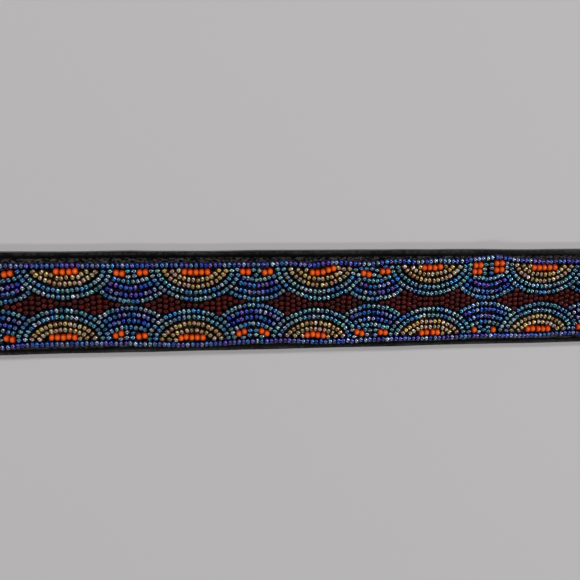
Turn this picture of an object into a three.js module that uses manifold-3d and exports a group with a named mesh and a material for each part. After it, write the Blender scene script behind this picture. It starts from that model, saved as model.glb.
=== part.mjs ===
// Beaded belt, laid flat with its beadwork up: a leather strap with a plain buckle, and on the strap
// a thin ground that carries the beadwork in two facing rows of arches. Millimetres, +Z up.
// X runs along the belt with the buckle at -X, Y runs across it, and the underside lies on z = 0.

import * as THREE from "three";
import { mergeVertices } from "three/addons/utils/BufferGeometryUtils.js";
import Module from "manifold-3d";

const wasm = await Module();
wasm.setup();

// Strap.
const strapWidth = 38;
const strapThickness = 3;
const tipRoundLength = 22;
const foldLeather = 1.6;
const foldRun = 24;
const foldOverlap = 2;
const slotWidth = 6;
const slotReach = 13;
const holeDiameter = 6;
const holeSpacing = 25;
const holeCount = 5;
const beadworkToHoles = 30;
const holesToTip = 85;
const foldToBeadwork = 60;

// Buckle.
const barDiameter = 4;
const barClearance = 0.3;
const frameThickness = 4;
const railWidth = 4.5;
const frameCornerRadius = 4;
const frameBevel = 0.7;
const frameReach = 34;
const frameSideClearance = 1.2;
const prongWidth = 4;
const prongThickness = 2.8;
const prongEyeWall = 1.6;
const prongOverhang = 1.6;
const prongTipThickness = 1.8;
const prongSink = 0.25;

// Bead ground, the rim of bare leather beside it, and the beads that cover it.
const rimWidth = 1.6;
const groundThickness = 0.7;
const groundEndMargin = 2;
const beadHeight = 2.1;
const beadRowPitch = 2.4;
const largeBeadPitch = 2.06;
const largeBeadRelief = 0.25;
const pieceGap = 0.3;

// Arches: fans and plain arches take turns along the belt, and both ends close on a fan.
const fanCount = 16;
const archPitch = 22.75;
const archHalfWidth = 15.6;
const fanHalfWidth = 11.1;
const fanDepth = 8.2;
const archRoundness = 2.2;
const fieldShift = -0.3;
const borderInset = 2.5;
const barBeads = 5;
const pairBeads = 2;
const pairSpread = 4.3;

// Facets along each round outline.
const archSteps = 14;
const fanSteps = 10;
const barSides = 16;
const holeSides = 16;
const foldSteps = 8;
const frameCornerSteps = 4;

// How far a cutting solid runs past what it cuts.
const cutMargin = 1;

// The hand-sewn wander of ten arches in a row, after which it repeats. The first four columns are shares
// of the arch pitch: how far along the belt each arch and its large beads are moved. The others are
// shares of the bead row pitch: how far each border row stands out from its mean line, how far the waist
// between two facing arches lies from the midline, and the room that the waist leaves between them
// beyond the gap that all pieces keep.
const wanderColumns = [
  "upperArch",
  "lowerArch",
  "upperLarge",
  "lowerLarge",
  "upperBorder",
  "lowerBorder",
  "waist",
  "neck",
];
const wander = [
  [0.0, -0.04, 0.01, -0.04, -0.25, 0.25, -0.04, 0.04],
  [0.0, -0.03, 0.07, -0.04, 0.0, -0.25, 0.27, 0.83],
  [0.03, -0.02, 0.07, 0.01, -0.17, -0.21, 0.0, 0.0],
  [0.08, 0.02, 0.09, -0.01, -0.19, 0.31, -0.21, 0.71],
  [0.09, 0.04, 0.05, 0.0, -0.25, -0.17, 0.15, 0.0],
  [0.06, 0.01, 0.14, 0.04, -0.33, 0.17, -0.35, 0.75],
  [0.04, 0.0, 0.03, 0.0, -0.17, 0.04, -0.21, 0.02],
  [0.01, 0.0, 0.01, 0.03, 0.25, 0.08, -0.12, 1.38],
  [0.03, -0.04, -0.01, -0.01, 0.58, -0.04, -0.15, 0.0],
  [0.05, -0.05, -0.01, -0.01, 0.17, 0.0, 0.08, 0.79],
].map((row) => Object.fromEntries(row.map((value, i) => [wanderColumns[i], value])));
const wanderStart = -4;

// Sizes that follow.
const upper = 1;
const lower = -1;
const lastFan = 2 * Math.round(fanCount) - 1;
const middleArch = (lastFan - 1) / 2;
const groundWidth = strapWidth - 2 * rimWidth;
const borderSpacing = groundWidth - 2 * borderInset;
const groundBottom = strapThickness + pieceGap;
const groundTop = groundBottom + groundThickness;
const beadBottom = groundTop + pieceGap;
const beadTop = beadBottom + beadHeight;
const rowHalf = beadRowPitch / 2;
const endColumnX = middleArch * archPitch + archHalfWidth + rowHalf + pieceGap + rowHalf;
const groundLength = 2 * (endColumnX + rowHalf + groundEndMargin);
const loopInnerRadius = barDiameter / 2 + barClearance;
const loopRadius = loopInnerRadius + foldLeather;
const fieldCentreX = foldToBeadwork + groundLength / 2;
const firstHoleX = foldToBeadwork + groundLength + beadworkToHoles;
const tipX = firstHoleX + (Math.round(holeCount) - 1) * holeSpacing + holesToTip;

// A solid from a closed geometry, with its shared vertices merged.
function solidOf(geometry) {
  const bare = geometry.clone();
  bare.deleteAttribute("normal");
  bare.deleteAttribute("uv");
  const merged = mergeVertices(bare, 1e-4);
  const vertProperties = new Float32Array(merged.attributes.position.array);
  const triVerts = new Uint32Array(merged.index.array);
  return new wasm.Manifold(new wasm.Mesh({ numProp: 3, vertProperties, triVerts }));
}

// A geometry from a solid.
function geometryOf(solid) {
  const mesh = solid.getMesh();
  const positions = new Float32Array(mesh.numVert * 3);
  for (let i = 0; i < mesh.numVert; i += 1) {
    positions.set(mesh.vertProperties.subarray(i * mesh.numProp, i * mesh.numProp + 3), i * 3);
  }
  const indexed = new THREE.BufferGeometry();
  indexed.setAttribute("position", new THREE.BufferAttribute(positions, 3));
  indexed.setIndex(new THREE.BufferAttribute(new Uint32Array(mesh.triVerts), 1));
  const geometry = indexed.toNonIndexed();
  geometry.computeVertexNormals();
  return geometry;
}

// The largest of the bodies that a solid falls into.
function largestBody(solid) {
  return solid.decompose().reduce((best, body) => (body.volume() > best.volume() ? body : best));
}

// The union of a list of solids.
function joined(solids) {
  return solids.reduce((whole, solid) => whole.add(solid));
}

// An upright prism over an outline in the XY plane.
function prism(shape, bottom, top) {
  const geometry = new THREE.ExtrudeGeometry(shape, { depth: top - bottom, bevelEnabled: false });
  return geometry.translate(0, 0, bottom);
}

// A prism lying along Y, over an outline drawn in X and Z.
function prismAcross(shape, width, curveSegments) {
  const settings = { depth: width, bevelEnabled: false, curveSegments };
  const geometry = new THREE.ExtrudeGeometry(shape, settings);
  return geometry.rotateX(Math.PI / 2).translate(0, width / 2, 0);
}

// A rectangle as a shape.
function rectangle(x0, y0, x1, y1) {
  const corners = [
    new THREE.Vector2(x0, y0),
    new THREE.Vector2(x1, y0),
    new THREE.Vector2(x1, y1),
    new THREE.Vector2(x0, y1),
  ];
  return new THREE.Shape(corners);
}

// The row of the wander table for arch k, counted from the middle of the beadwork.
function wanderAt(k) {
  const rows = wander.length;
  return wander[(((k - wanderStart) % rows) + rows) % rows];
}

// The line of a border row: it passes each arch at that arch's own height and eases between them.
function borderY(side, x) {
  const place = x / archPitch;
  const k = Math.floor(place);
  const ease = (1 - Math.cos(Math.PI * (place - k))) / 2;
  const column = side === upper ? "upperBorder" : "lowerBorder";
  const lift = wanderAt(k)[column] * (1 - ease) + wanderAt(k + 1)[column] * ease;
  return fieldShift + side * (borderSpacing / 2 + lift * beadRowPitch);
}

// The centre and border line of one arch, its depth from there to its outer edge at the waist, and the
// centre of its large beads.
function archAt(side, k) {
  const row = wanderAt(k);
  const x = (k + (side === upper ? row.upperArch : row.lowerArch)) * archPitch;
  const largeX = (k + (side === upper ? row.upperLarge : row.lowerLarge)) * archPitch;
  const base = borderY(side, x);
  const edge = row.waist * beadRowPitch + (side * (row.neck * beadRowPitch + pieceGap)) / 2;
  return { x, largeX, base, depth: side * (base - edge) };
}

// Half a rounded arch that hangs from its border line towards the midline, closed behind the border.
function archShape(side, arch, halfWidth, depth, steps) {
  const points = [];
  for (let i = 0; i <= steps; i += 1) {
    const angle = (Math.PI * i) / steps;
    const along = Math.sign(Math.cos(angle)) * Math.abs(Math.cos(angle)) ** (2 / archRoundness);
    const down = Math.sin(angle) ** (2 / archRoundness);
    points.push(new THREE.Vector2(arch.x + halfWidth * along, arch.base - side * depth * down));
  }
  points.push(new THREE.Vector2(arch.x - halfWidth, arch.base + side * beadRowPitch));
  points.push(new THREE.Vector2(arch.x + halfWidth, arch.base + side * beadRowPitch));
  return new THREE.Shape(points);
}

// The whole arch of one side, out to the edge of its outer row and a margin more.
function archSolid(side, k, margin, bottom, top) {
  const arch = archAt(side, k);
  const halfWidth = archHalfWidth + rowHalf + margin;
  const shape = archShape(side, arch, halfWidth, arch.depth + margin, archSteps);
  return solidOf(prism(shape, bottom, top));
}

// The fan inside an arch: its two inner rows and the bar of large beads.
function fanSolid(side, k, margin, bottom, top) {
  const arch = archAt(side, k);
  const halfWidth = fanHalfWidth + rowHalf + margin;
  const shape = archShape(side, arch, halfWidth, fanDepth + rowHalf + margin, fanSteps);
  return solidOf(prism(shape, bottom, top));
}

// The points of a border line moved by an offset towards the outside, from one end to the other.
function borderPoints(side, halfLength, offset) {
  const steps = 4 * middleArch;
  const points = [];
  for (let i = 0; i <= steps; i += 1) {
    const x = halfLength * ((2 * i) / steps - 1);
    points.push(new THREE.Vector2(x, borderY(side, x) + side * offset));
  }
  return points;
}

// The field between the two border rows, with a gap to each and to the end rows.
function fieldSolid(bottom, top) {
  const halfLength = endColumnX - rowHalf - pieceGap;
  const inset = -rowHalf - pieceGap;
  const above = borderPoints(upper, halfLength, inset).reverse();
  const below = borderPoints(lower, halfLength, inset);
  return solidOf(prism(new THREE.Shape([...below, ...above]), bottom, top));
}

// One border row, the full length of the beadwork.
function borderRowGeometry(side) {
  const halfLength = endColumnX + rowHalf;
  const outer = borderPoints(side, halfLength, rowHalf);
  const inner = borderPoints(side, halfLength, -rowHalf).reverse();
  const outline = [...outer, ...inner];
  if (side === upper) {
    outline.reverse();
  }
  return prism(new THREE.Shape(outline), beadBottom, beadTop);
}

// The row across each end of the beadwork, between the border rows.
function endRowGeometry(end) {
  const x = end * endColumnX;
  const inset = rowHalf + pieceGap;
  const lowest = borderY(lower, x) + inset;
  const highest = borderY(upper, x) - inset;
  return prism(rectangle(x - rowHalf, lowest, x + rowHalf, highest), beadBottom, beadTop);
}

// A raised block of large beads beside the border: a bar in a fan, or a pair in a plain arch.
function largeBeadBlock(side, centreX, beads) {
  const halfLength = (beads * largeBeadPitch) / 2;
  const edge = borderY(side, centreX) - side * (rowHalf + 2 * pieceGap);
  const far = edge - side * beadRowPitch;
  const outline = rectangle(
    centreX - halfLength,
    Math.min(edge, far),
    centreX + halfLength,
    Math.max(edge, far),
  );
  return solidOf(prism(outline, beadBottom + beadHeight / 2, beadTop + largeBeadRelief));
}

// All arches of one side as one scalloped band, with a notch for each fan.
function archBandGeometry(side) {
  const arches = [];
  const notches = [];
  const blocks = [];
  for (let k = -middleArch; k <= middleArch; k += 1) {
    arches.push(archSolid(side, k, 0, beadBottom, beadTop));
    if ((k + middleArch) % 2 === 0) {
      notches.push(fanSolid(side, k, pieceGap, beadBottom - cutMargin, beadTop + cutMargin));
    } else {
      const centreX = archAt(side, k).largeX;
      blocks.push(largeBeadBlock(side, centreX - pairSpread, pairBeads));
      blocks.push(largeBeadBlock(side, centreX + pairSpread, pairBeads));
    }
  }
  const band = joined(arches).intersect(fieldSolid(beadBottom, beadTop)).subtract(joined(notches));
  return geometryOf(largestBody(band.add(joined(blocks))));
}

// One fan with its raised bar of large beads.
function fanGeometry(side, k) {
  const fan = fanSolid(side, k, 0, beadBottom, beadTop).intersect(fieldSolid(beadBottom, beadTop));
  return geometryOf(fan.add(largeBeadBlock(side, archAt(side, k).largeX, barBeads)));
}

// The lozenge of beads between two facing fans, from one plain arch to the next or to the end row.
function lozengeGeometry(k) {
  const reach = endColumnX + rowHalf;
  const from = k === -middleArch ? -reach : (k - 1) * archPitch;
  const to = k === middleArch ? reach : (k + 1) * archPitch;
  const field = fieldSolid(beadBottom, beadTop);
  let lozenge = field.intersect(
    solidOf(prism(rectangle(from, -strapWidth, to, strapWidth), beadBottom - cutMargin, beadTop + cutMargin)),
  );
  for (let near = k - 2; near <= k + 2; near += 1) {
    if (Math.abs(near) <= middleArch) {
      for (const side of [upper, lower]) {
        const cut = archSolid(side, near, pieceGap, beadBottom - cutMargin, beadTop + cutMargin);
        lozenge = lozenge.subtract(cut);
      }
    }
  }
  return geometryOf(largestBody(lozenge));
}

// Side outline of the fold round the buckle's bar, whose centre is at x = 0: it stands on z = 0, runs
// round the bar and eases down to the strap's own thickness, with a teardrop hole for the bar.
function foldShape() {
  const bar = new THREE.Vector2(0, loopRadius);
  const down = new THREE.Vector2(foldRun, strapThickness).sub(bar);
  const outerTurn = down.angle() - 2 * Math.PI + Math.acos(loopRadius / down.length());
  const shape = new THREE.Shape();
  shape.moveTo(foldRun, 0);
  shape.lineTo(foldRun, strapThickness);
  shape.absarc(bar.x, bar.y, loopRadius, outerTurn, 1.5 * Math.PI, false);
  shape.closePath();
  const meet = new THREE.Vector2(slotReach - slotWidth / 2, strapThickness / 2).sub(bar);
  const meetTurn = meet.angle() - 2 * Math.PI;
  const spread = Math.acos(loopInnerRadius / meet.length());
  const hole = new THREE.Path();
  hole.absarc(bar.x, bar.y, loopInnerRadius, meetTurn - spread, meetTurn + spread, true);
  hole.lineTo(bar.x + meet.x, bar.y + meet.y);
  hole.closePath();
  shape.holes.push(hole);
  return shape;
}

// The flat strap seen from above, from inside the fold's run to its rounded tip, with its holes.
function strapShape() {
  const half = strapWidth / 2;
  const start = foldRun - foldOverlap;
  const shape = new THREE.Shape();
  shape.moveTo(start, -half);
  shape.lineTo(tipX - tipRoundLength, -half);
  shape.absellipse(tipX - tipRoundLength, 0, tipRoundLength, half, -Math.PI / 2, Math.PI / 2, false);
  shape.lineTo(start, half);
  shape.closePath();
  for (let i = 0; i < Math.round(holeCount); i += 1) {
    const hole = [];
    for (let j = 0; j < holeSides; j += 1) {
      const angle = (-2 * Math.PI * (j + 0.5)) / holeSides;
      const centre = new THREE.Vector2(firstHoleX + i * holeSpacing, 0);
      const spoke = new THREE.Vector2(Math.cos(angle), Math.sin(angle));
      hole.push(centre.addScaledVector(spoke, holeDiameter / 2));
    }
    shape.holes.push(new THREE.Path(hole));
  }
  return shape;
}

// The slot at the fold that the prong's eye stands in, with a round end.
function slotShape() {
  const half = slotWidth / 2;
  const shape = new THREE.Shape();
  shape.moveTo(-loopRadius - cutMargin, -half);
  shape.lineTo(slotReach - half, -half);
  shape.absarc(slotReach - half, 0, half, -Math.PI / 2, Math.PI / 2, false);
  shape.lineTo(-loopRadius - cutMargin, half);
  shape.closePath();
  return shape;
}

// The strap in one piece: its flat run and the slotted fold at the buckle.
function strapGeometry() {
  const flat = solidOf(prism(strapShape(), 0, strapThickness));
  const fold = solidOf(prismAcross(foldShape(), strapWidth, foldSteps));
  const slot = solidOf(prism(slotShape(), -cutMargin, 2 * loopRadius + cutMargin));
  return geometryOf(flat.add(fold).subtract(slot));
}

// A rectangle with two rounded corners at its -X end.
function roundedFrameShape(x0, x1, half, radius) {
  const shape = new THREE.Shape();
  shape.moveTo(x1, half);
  shape.lineTo(x0 + radius, half);
  shape.absarc(x0 + radius, half - radius, radius, Math.PI / 2, Math.PI, false);
  shape.absarc(x0 + radius, radius - half, radius, Math.PI, 1.5 * Math.PI, false);
  shape.lineTo(x1, -half);
  shape.closePath();
  return shape;
}

// The buckle's frame, open towards the strap, with its edges bevelled.
function frameSolid() {
  const innerHalf = strapWidth / 2 + frameSideClearance;
  const front = -frameReach - railWidth / 2 + frameBevel;
  const back = barDiameter / 2;
  const outline = roundedFrameShape(front, back, innerHalf + railWidth - frameBevel, frameCornerRadius);
  const settings = {
    depth: frameThickness - 2 * frameBevel,
    bevelThickness: frameBevel,
    bevelSize: frameBevel,
    bevelSegments: 1,
    curveSegments: frameCornerSteps,
  };
  const plate = new THREE.ExtrudeGeometry(outline, settings);
  plate.translate(0, 0, frameBevel - frameThickness / 2);
  const innerRadius = frameCornerRadius / 2;
  const window = roundedFrameShape(-frameReach + railWidth / 2, back + frameThickness, innerHalf, innerRadius);
  return solidOf(plate).subtract(solidOf(prism(window, -frameThickness, frameThickness)));
}

// The round bar that the strap is folded over.
function barSolid() {
  const length = strapWidth + 2 * frameSideClearance + railWidth;
  return solidOf(new THREE.CylinderGeometry(barDiameter / 2, barDiameter / 2, length, barSides));
}

// The prong: an eye round the bar, and a tongue that lies on the front rail and runs just past it.
function prongSolid() {
  const eye = barDiameter / 2 + prongEyeWall;
  const railTop = frameThickness / 2 - prongSink;
  const railX = -frameReach - railWidth / 2;
  const shape = new THREE.Shape();
  shape.moveTo(0, eye);
  shape.lineTo(-frameReach, railTop + prongThickness);
  shape.lineTo(railX - prongOverhang, railTop + prongTipThickness);
  shape.lineTo(railX - prongOverhang, railTop);
  shape.lineTo(-frameReach + railWidth, railTop);
  shape.lineTo(-eye, 0);
  shape.absarc(0, 0, eye, Math.PI, 2.5 * Math.PI, false);
  return solidOf(prismAcross(shape, prongWidth, foldSteps));
}

// The buckle in one piece, with its bar at x = 0, turned down so that its front rail rests on z = 0.
function buckleGeometry() {
  const geometry = geometryOf(frameSolid().add(barSolid()).add(prongSolid()));
  const restLength = frameReach + railWidth / 2 - frameBevel;
  const restHeight = frameThickness / 2;
  const lean = Math.asin(loopRadius / Math.hypot(restLength, restHeight)) - Math.atan2(restHeight, restLength);
  return geometry.rotateY(-lean).translate(0, 0, loopRadius);
}

// The thin ground that the beads are sewn to.
function groundGeometry() {
  const outline = rectangle(-groundLength / 2, -groundWidth / 2, groundLength / 2, groundWidth / 2);
  return prism(outline, groundBottom, groundTop);
}

// A named mesh with its own material.
function piece(name, geometry, color, roughness, metalness) {
  const material = new THREE.MeshStandardMaterial({ color, roughness, metalness });
  const mesh = new THREE.Mesh(geometry, material);
  mesh.name = name;
  return mesh;
}

// A two-figure number for a repeated piece.
function numbered(index) {
  return String(index).padStart(2, "0");
}

// The beadwork round its own centre: borders, end rows, arches, fans and lozenges.
function beadworkGroup() {
  const group = new THREE.Group();
  group.add(piece("bead_ground", groundGeometry(), 0x17161a, 0.9, 0));
  group.add(piece("upper_border_row", borderRowGeometry(upper), 0x2b2f8f, 0.3, 0.1));
  group.add(piece("lower_border_row", borderRowGeometry(lower), 0x2b2f8f, 0.3, 0.1));
  group.add(piece("buckle_end_row", endRowGeometry(-1), 0x2b2f8f, 0.3, 0.1));
  group.add(piece("tip_end_row", endRowGeometry(1), 0x2b2f8f, 0.3, 0.1));
  group.add(piece("upper_arch_band", archBandGeometry(upper), 0x2f6f8f, 0.3, 0.1));
  group.add(piece("lower_arch_band", archBandGeometry(lower), 0x2f6f8f, 0.3, 0.1));
  for (let k = -middleArch; k <= middleArch; k += 2) {
    const number = numbered((k + middleArch) / 2 + 1);
    group.add(piece("upper_fan_" + number, fanGeometry(upper, k), 0x9c8a55, 0.3, 0.1));
    group.add(piece("lower_fan_" + number, fanGeometry(lower, k), 0x9c8a55, 0.3, 0.1));
    group.add(piece("garnet_lozenge_" + number, lozengeGeometry(k), 0x4a1210, 0.3, 0));
  }
  return group;
}

// The belt with the buckle's bar at x = 0, then moved so that the middle of its length is the origin.
function beltGroup() {
  const belt = new THREE.Group();
  belt.add(piece("strap", strapGeometry(), 0x1b1b1e, 0.55, 0));
  belt.add(piece("buckle", buckleGeometry(), 0x9fa2a6, 0.35, 1));
  const beadwork = beadworkGroup();
  beadwork.position.x = fieldCentreX;
  belt.add(beadwork);
  const box = new THREE.Box3().setFromObject(belt);
  belt.position.x = -(box.min.x + box.max.x) / 2;
  return belt;
}

export default beltGroup();
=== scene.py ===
"""Looks of a beaded belt: a black leather strap with a plain buckle, and a panel of glass seed beads on it.

The belt lies along X with the buckle at the low end, its width runs along Y, and the beads face up, along Z.
The classes give lengths in millimetres, as a belt maker does, and the meshes are made in metres.
"""
import logging
import math
from collections.abc import Iterator
from contextlib import contextmanager
from dataclasses import dataclass, field
from enum import Enum
from typing import Any

import bmesh
import bpy
import numpy as np
from mathutils import Matrix, Vector
from mathutils.bvhtree import BVHTree


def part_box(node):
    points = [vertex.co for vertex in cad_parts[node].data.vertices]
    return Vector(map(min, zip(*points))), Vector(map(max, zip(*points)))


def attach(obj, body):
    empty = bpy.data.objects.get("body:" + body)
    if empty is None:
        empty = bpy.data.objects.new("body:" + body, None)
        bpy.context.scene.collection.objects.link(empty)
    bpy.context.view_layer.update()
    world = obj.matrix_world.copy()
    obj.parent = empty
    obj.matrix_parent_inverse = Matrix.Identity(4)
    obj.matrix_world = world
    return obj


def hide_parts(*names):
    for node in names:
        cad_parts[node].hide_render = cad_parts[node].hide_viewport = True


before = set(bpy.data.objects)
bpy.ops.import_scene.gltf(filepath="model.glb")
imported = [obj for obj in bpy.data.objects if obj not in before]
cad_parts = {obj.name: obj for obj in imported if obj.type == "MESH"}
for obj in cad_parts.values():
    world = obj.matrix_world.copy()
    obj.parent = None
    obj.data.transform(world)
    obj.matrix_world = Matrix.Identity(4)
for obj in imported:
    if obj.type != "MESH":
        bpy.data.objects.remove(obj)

MM = 0.001
BODY = "root"
SEED = 41
END_INSET = 3.2  # from an end of the cloth to the end column of beads
Colour = tuple[float, float, float]
log = logging.getLogger("beaded_belt")


# Shader nodes


class Value:
    """One output of a node, on which sums are written as Python expressions."""

    def __init__(self, graph: "Graph", out: bpy.types.NodeSocket) -> None:
        """Keeps the graph and the output socket."""
        self.graph = graph
        self.out = out

    def _sum(self, operation: str, a: Any, b: Any) -> "Value":
        """Adds one Math node for an operation on two values."""
        return self.graph.node("ShaderNodeMath", {"operation": operation}, {0: a, 1: b})

    def __add__(self, other: Any) -> "Value":
        """This value plus another."""
        return self._sum("ADD", self, other)

    __radd__ = __add__

    def __sub__(self, other: Any) -> "Value":
        """This value less another."""
        return self._sum("SUBTRACT", self, other)

    def __rsub__(self, other: Any) -> "Value":
        """Another value less this one."""
        return self._sum("SUBTRACT", other, self)

    def __mul__(self, other: Any) -> "Value":
        """This value times another."""
        return self._sum("MULTIPLY", self, other)

    __rmul__ = __mul__


class Graph:
    """The node tree of one material, in which every node comes from one method."""

    def __init__(self, name: str) -> None:
        """Starts an empty material.

        Args:
            name: the material's name.
        """
        self.material = bpy.data.materials.new(name)
        self.material.use_nodes = True
        self.tree = self.material.node_tree
        self.tree.nodes.clear()

    def node(self, kind: str, settings: dict[str, Any] | None = None, sockets: dict[Any, Any] | None = None,
             output: int | str = 0) -> Value:
        """Adds a node: its type, then its settings, then what its sockets hold or are linked to.

        Args:
            kind: the node's type, such as ShaderNodeMath.
            settings: attributes to set first.
            sockets: numbers, colours or Values for the inputs, by name or index.
            output: the output to return, by name or index.

        Returns:
            The chosen output.
        """
        made = self.tree.nodes.new(kind)
        for name, value in (settings or {}).items():
            setattr(made, name, value)
        for key, value in (sockets or {}).items():
            if isinstance(value, Value):
                self.tree.links.new(value.out, made.inputs[key])
            else:
                made.inputs[key].default_value = value
        return Value(self, made.outputs[output])

    def object_point(self, scale: tuple[float, float, float] = (1.0, 1.0, 1.0)) -> Value:
        """The point on the object, in metres times a scale along each axis."""
        point = self.node("ShaderNodeTexCoord", output="Object")
        return self.node("ShaderNodeMapping", {}, {"Vector": point, "Scale": scale})

    def from_midline(self) -> Value:
        """The distance across the belt from its midline, in metres."""
        across = self.node("ShaderNodeSeparateXYZ", {}, {"Vector": self.object_point()}, output="Y")
        return self.node("ShaderNodeMath", {"operation": "ABSOLUTE"}, {0: across})

    def noise(self, point: Value, scale: float, detail: float = 2.0, roughness: float = 0.5) -> Value:
        """Fractal noise from about 0 to 1 at a point, with so many features in a metre."""
        return self.node("ShaderNodeTexNoise", {"noise_dimensions": "3D"},
                         {"Vector": point, "Scale": scale, "Detail": detail, "Roughness": roughness})

    def cells(self, point: Value, scale: float) -> Value:
        """Distance from the middle of the nearest cell, with so many cells in a metre."""
        return self.node("ShaderNodeTexVoronoi", {}, {"Vector": point, "Scale": scale}, output="Distance")

    def fade(self, value: Value, low: float, high: float, to_low: float = 0.0, to_high: float = 1.0) -> Value:
        """A value's range low to high, mapped smoothly to another range."""
        return self.node("ShaderNodeMapRange", {"interpolation_type": "SMOOTHSTEP"},
                         {"Value": value, "From Min": low, "From Max": high, "To Min": to_low, "To Max": to_high})

    def mix(self, factor: Any, a: Any, b: Any) -> Value:
        """Colour a where the factor is 0 and b where it is 1."""
        return self.node("ShaderNodeMix", {"data_type": "RGBA"}, {0: factor, 6: full(a), 7: full(b)}, output=2)

    def shade(self, colour: Value, factor: Any) -> Value:
        """A colour times a number."""
        return self.node("ShaderNodeVectorMath", {"operation": "SCALE"}, {0: colour, "Scale": factor})

    def bump(self, height: Value, distance: float) -> Value:
        """A normal from a height from 0 to 1 that stands for a distance in metres."""
        return self.node("ShaderNodeBump", {}, {"Height": height, "Distance": distance, "Strength": 1.0})

    def finish(self, sockets: dict[str, Any]) -> bpy.types.Material:
        """Ends the tree with one Principled shader.

        Args:
            sockets: what the shader's sockets hold.

        Returns:
            The finished material.
        """
        shader = self.node("ShaderNodeBsdfPrincipled", {}, sockets)
        end = self.tree.nodes.new("ShaderNodeOutputMaterial")
        self.tree.links.new(shader.out, end.inputs["Surface"])
        return self.material


def full(colour: Any) -> Any:
    """A colour of three numbers with its alpha added; anything else as it is."""
    return (*colour, 1.0) if isinstance(colour, tuple) and len(colour) == 3 else colour


# Finishes


@dataclass(frozen=True)
class LeatherFinish:
    """Smooth black belt leather: fine pores, soft creases, and edges made paler by rubbed wear and by a painted sheen
    on their rounding.

    Attributes:
        colour: the dye.
        worn_and_sheen: the colour where the dye is rubbed, which on the rounded edges is also a painted sheen.
        roughness: how matt the surface is.
        pores: pores in a metre.
        edge: distances from the midline, in metres, between which the leather turns from clean to rubbed and painted
            with sheen.
    """

    colour: Colour = (0.0014, 0.0014, 0.0018)
    worn_and_sheen: Colour = (0.045, 0.0445, 0.048)
    roughness: float = 0.4
    pores: float = 1500.0
    edge: tuple[float, float] = (0.0177, 0.0184)

    def material(self) -> bpy.types.Material:
        """Builds the material."""
        graph = Graph("black_leather")
        point = graph.object_point()
        grain = graph.cells(point, self.pores)
        crease = graph.noise(graph.object_point((1.0, 2.2, 1.0)), 160.0, 5.0, 0.6)
        patch = graph.fade(graph.noise(point, 45.0, 4.0, 0.6), 0.42, 0.72)
        rub = graph.fade(graph.noise(point, 700.0, 3.0, 0.6) * 0.8 + patch * 0.2, 0.25, 0.75)
        height = graph.fade(grain, 0.0, 0.6) * 0.45 + crease * 0.55
        # Painted sheen: towards the rounded edges the leather is painted paler, together with the random rubbed wear.
        edge = graph.fade(graph.from_midline(), *self.edge, 0.06, 1.0)
        return graph.finish({
            "Base Color": graph.mix(rub * edge, self.colour, self.worn_and_sheen),
            "Roughness": self.roughness + patch * 0.12 - crease * 0.1,
            "Normal": graph.bump(height, 0.00008),
            "Specular IOR Level": 0.14,
        })


@dataclass(frozen=True)
class ClothFinish:
    """Black backing cloth under the beads: a fine weave with loose, greyish and brownish fibres, and no fibres drawn
    on its sloping edge, a painted shade for the groove beside the leather.

    Attributes:
        colour: the cloth in its hollows.
        lint: the loose fibres on top.
        dust: the fibres in other patches.
        threads: threads in a metre.
        groove_shade_from: distance from the midline, in metres, from where no lint is drawn, a painted shade along
            the groove.
        groove_shade_fade: width over which the lint ends into that painted shade.
    """

    colour: Colour = (0.001, 0.001, 0.0013)
    lint: Colour = (0.082, 0.08, 0.088)
    dust: Colour = (0.068, 0.05, 0.042)
    threads: float = 1900.0
    groove_shade_from: float = 0.0168
    groove_shade_fade: float = 0.0006

    def material(self) -> bpy.types.Material:
        """Builds the material."""
        graph = Graph("ground_fabric")
        point = graph.object_point()
        lint = graph.noise(graph.object_point((0.5, 1.0, 1.0)), 1500.0, 3.0, 0.7)
        patch = graph.noise(point, 260.0, 3.0, 0.6)
        weave = graph.cells(point, self.threads)
        # Painted shade: the cloth's sloping edge is left black, without lint, to darken the groove beside the
        # leather.
        half_fade = self.groove_shade_fade / 2
        unshaded = graph.fade(graph.from_midline(), self.groove_shade_from - half_fade, self.groove_shade_from + half_fade, 1.0, 0.0)
        light = graph.fade(lint * 0.75 + patch * 0.25, 0.46, 0.6) * unshaded
        fibre = graph.mix(graph.fade(patch, 0.45, 0.6), self.lint, self.dust)
        return graph.finish({
            "Base Color": graph.mix(light, self.colour, fibre),
            "Roughness": graph.fade(lint, 0.3, 0.7, 0.82, 0.97),
            "Normal": graph.bump(lint * 0.6 + weave * 0.4, 0.0003),
            "Specular IOR Level": 0.04,
        })


@dataclass(frozen=True)
class MetalFinish:
    """Satin nickel-coloured metal with fine lengthwise brushing.

    Attributes:
        colour: the metal.
        dull: the metal in its finger-marked patches.
    """

    colour: Colour = (0.56, 0.55, 0.53)
    dull: Colour = (0.4, 0.39, 0.375)

    def material(self) -> bpy.types.Material:
        """Builds the material."""
        graph = Graph("buckle_metal")
        brush = graph.noise(graph.object_point((1.0, 0.06, 1.0)), 2600.0)
        patch = graph.fade(graph.noise(graph.object_point(), 90.0, 4.0, 0.6), 0.4, 0.7)
        return graph.finish({
            "Base Color": graph.mix(patch * 0.6, self.colour, self.dull),
            "Metallic": 1.0,
            "Roughness": 0.24 + patch * 0.12 + brush * 0.08,
            "Normal": graph.bump(brush, 0.00002),
        })


@dataclass(frozen=True)
class ThreadFinish:
    """Waxed black thread with the twist of its plies.

    Attributes:
        colour: the thread in the light.
        dark: the painted shade of the thread between its plies.
    """

    colour: Colour = (0.05, 0.05, 0.052)
    dark: Colour = (0.012, 0.012, 0.013)

    def material(self) -> bpy.types.Material:
        """Builds the material."""
        graph = Graph("waxed_thread")
        twist = graph.noise(graph.object_point(), 5200.0, 1.0)
        return graph.finish({
            # Painted shade: the twist's low places are painted darker, as shade between the plies.
            "Base Color": graph.mix(graph.fade(twist, 0.35, 0.65), self.dark, self.colour),
            "Roughness": 0.55 + twist * 0.2,
            "Normal": graph.bump(twist, 0.00006),
        })


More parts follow.
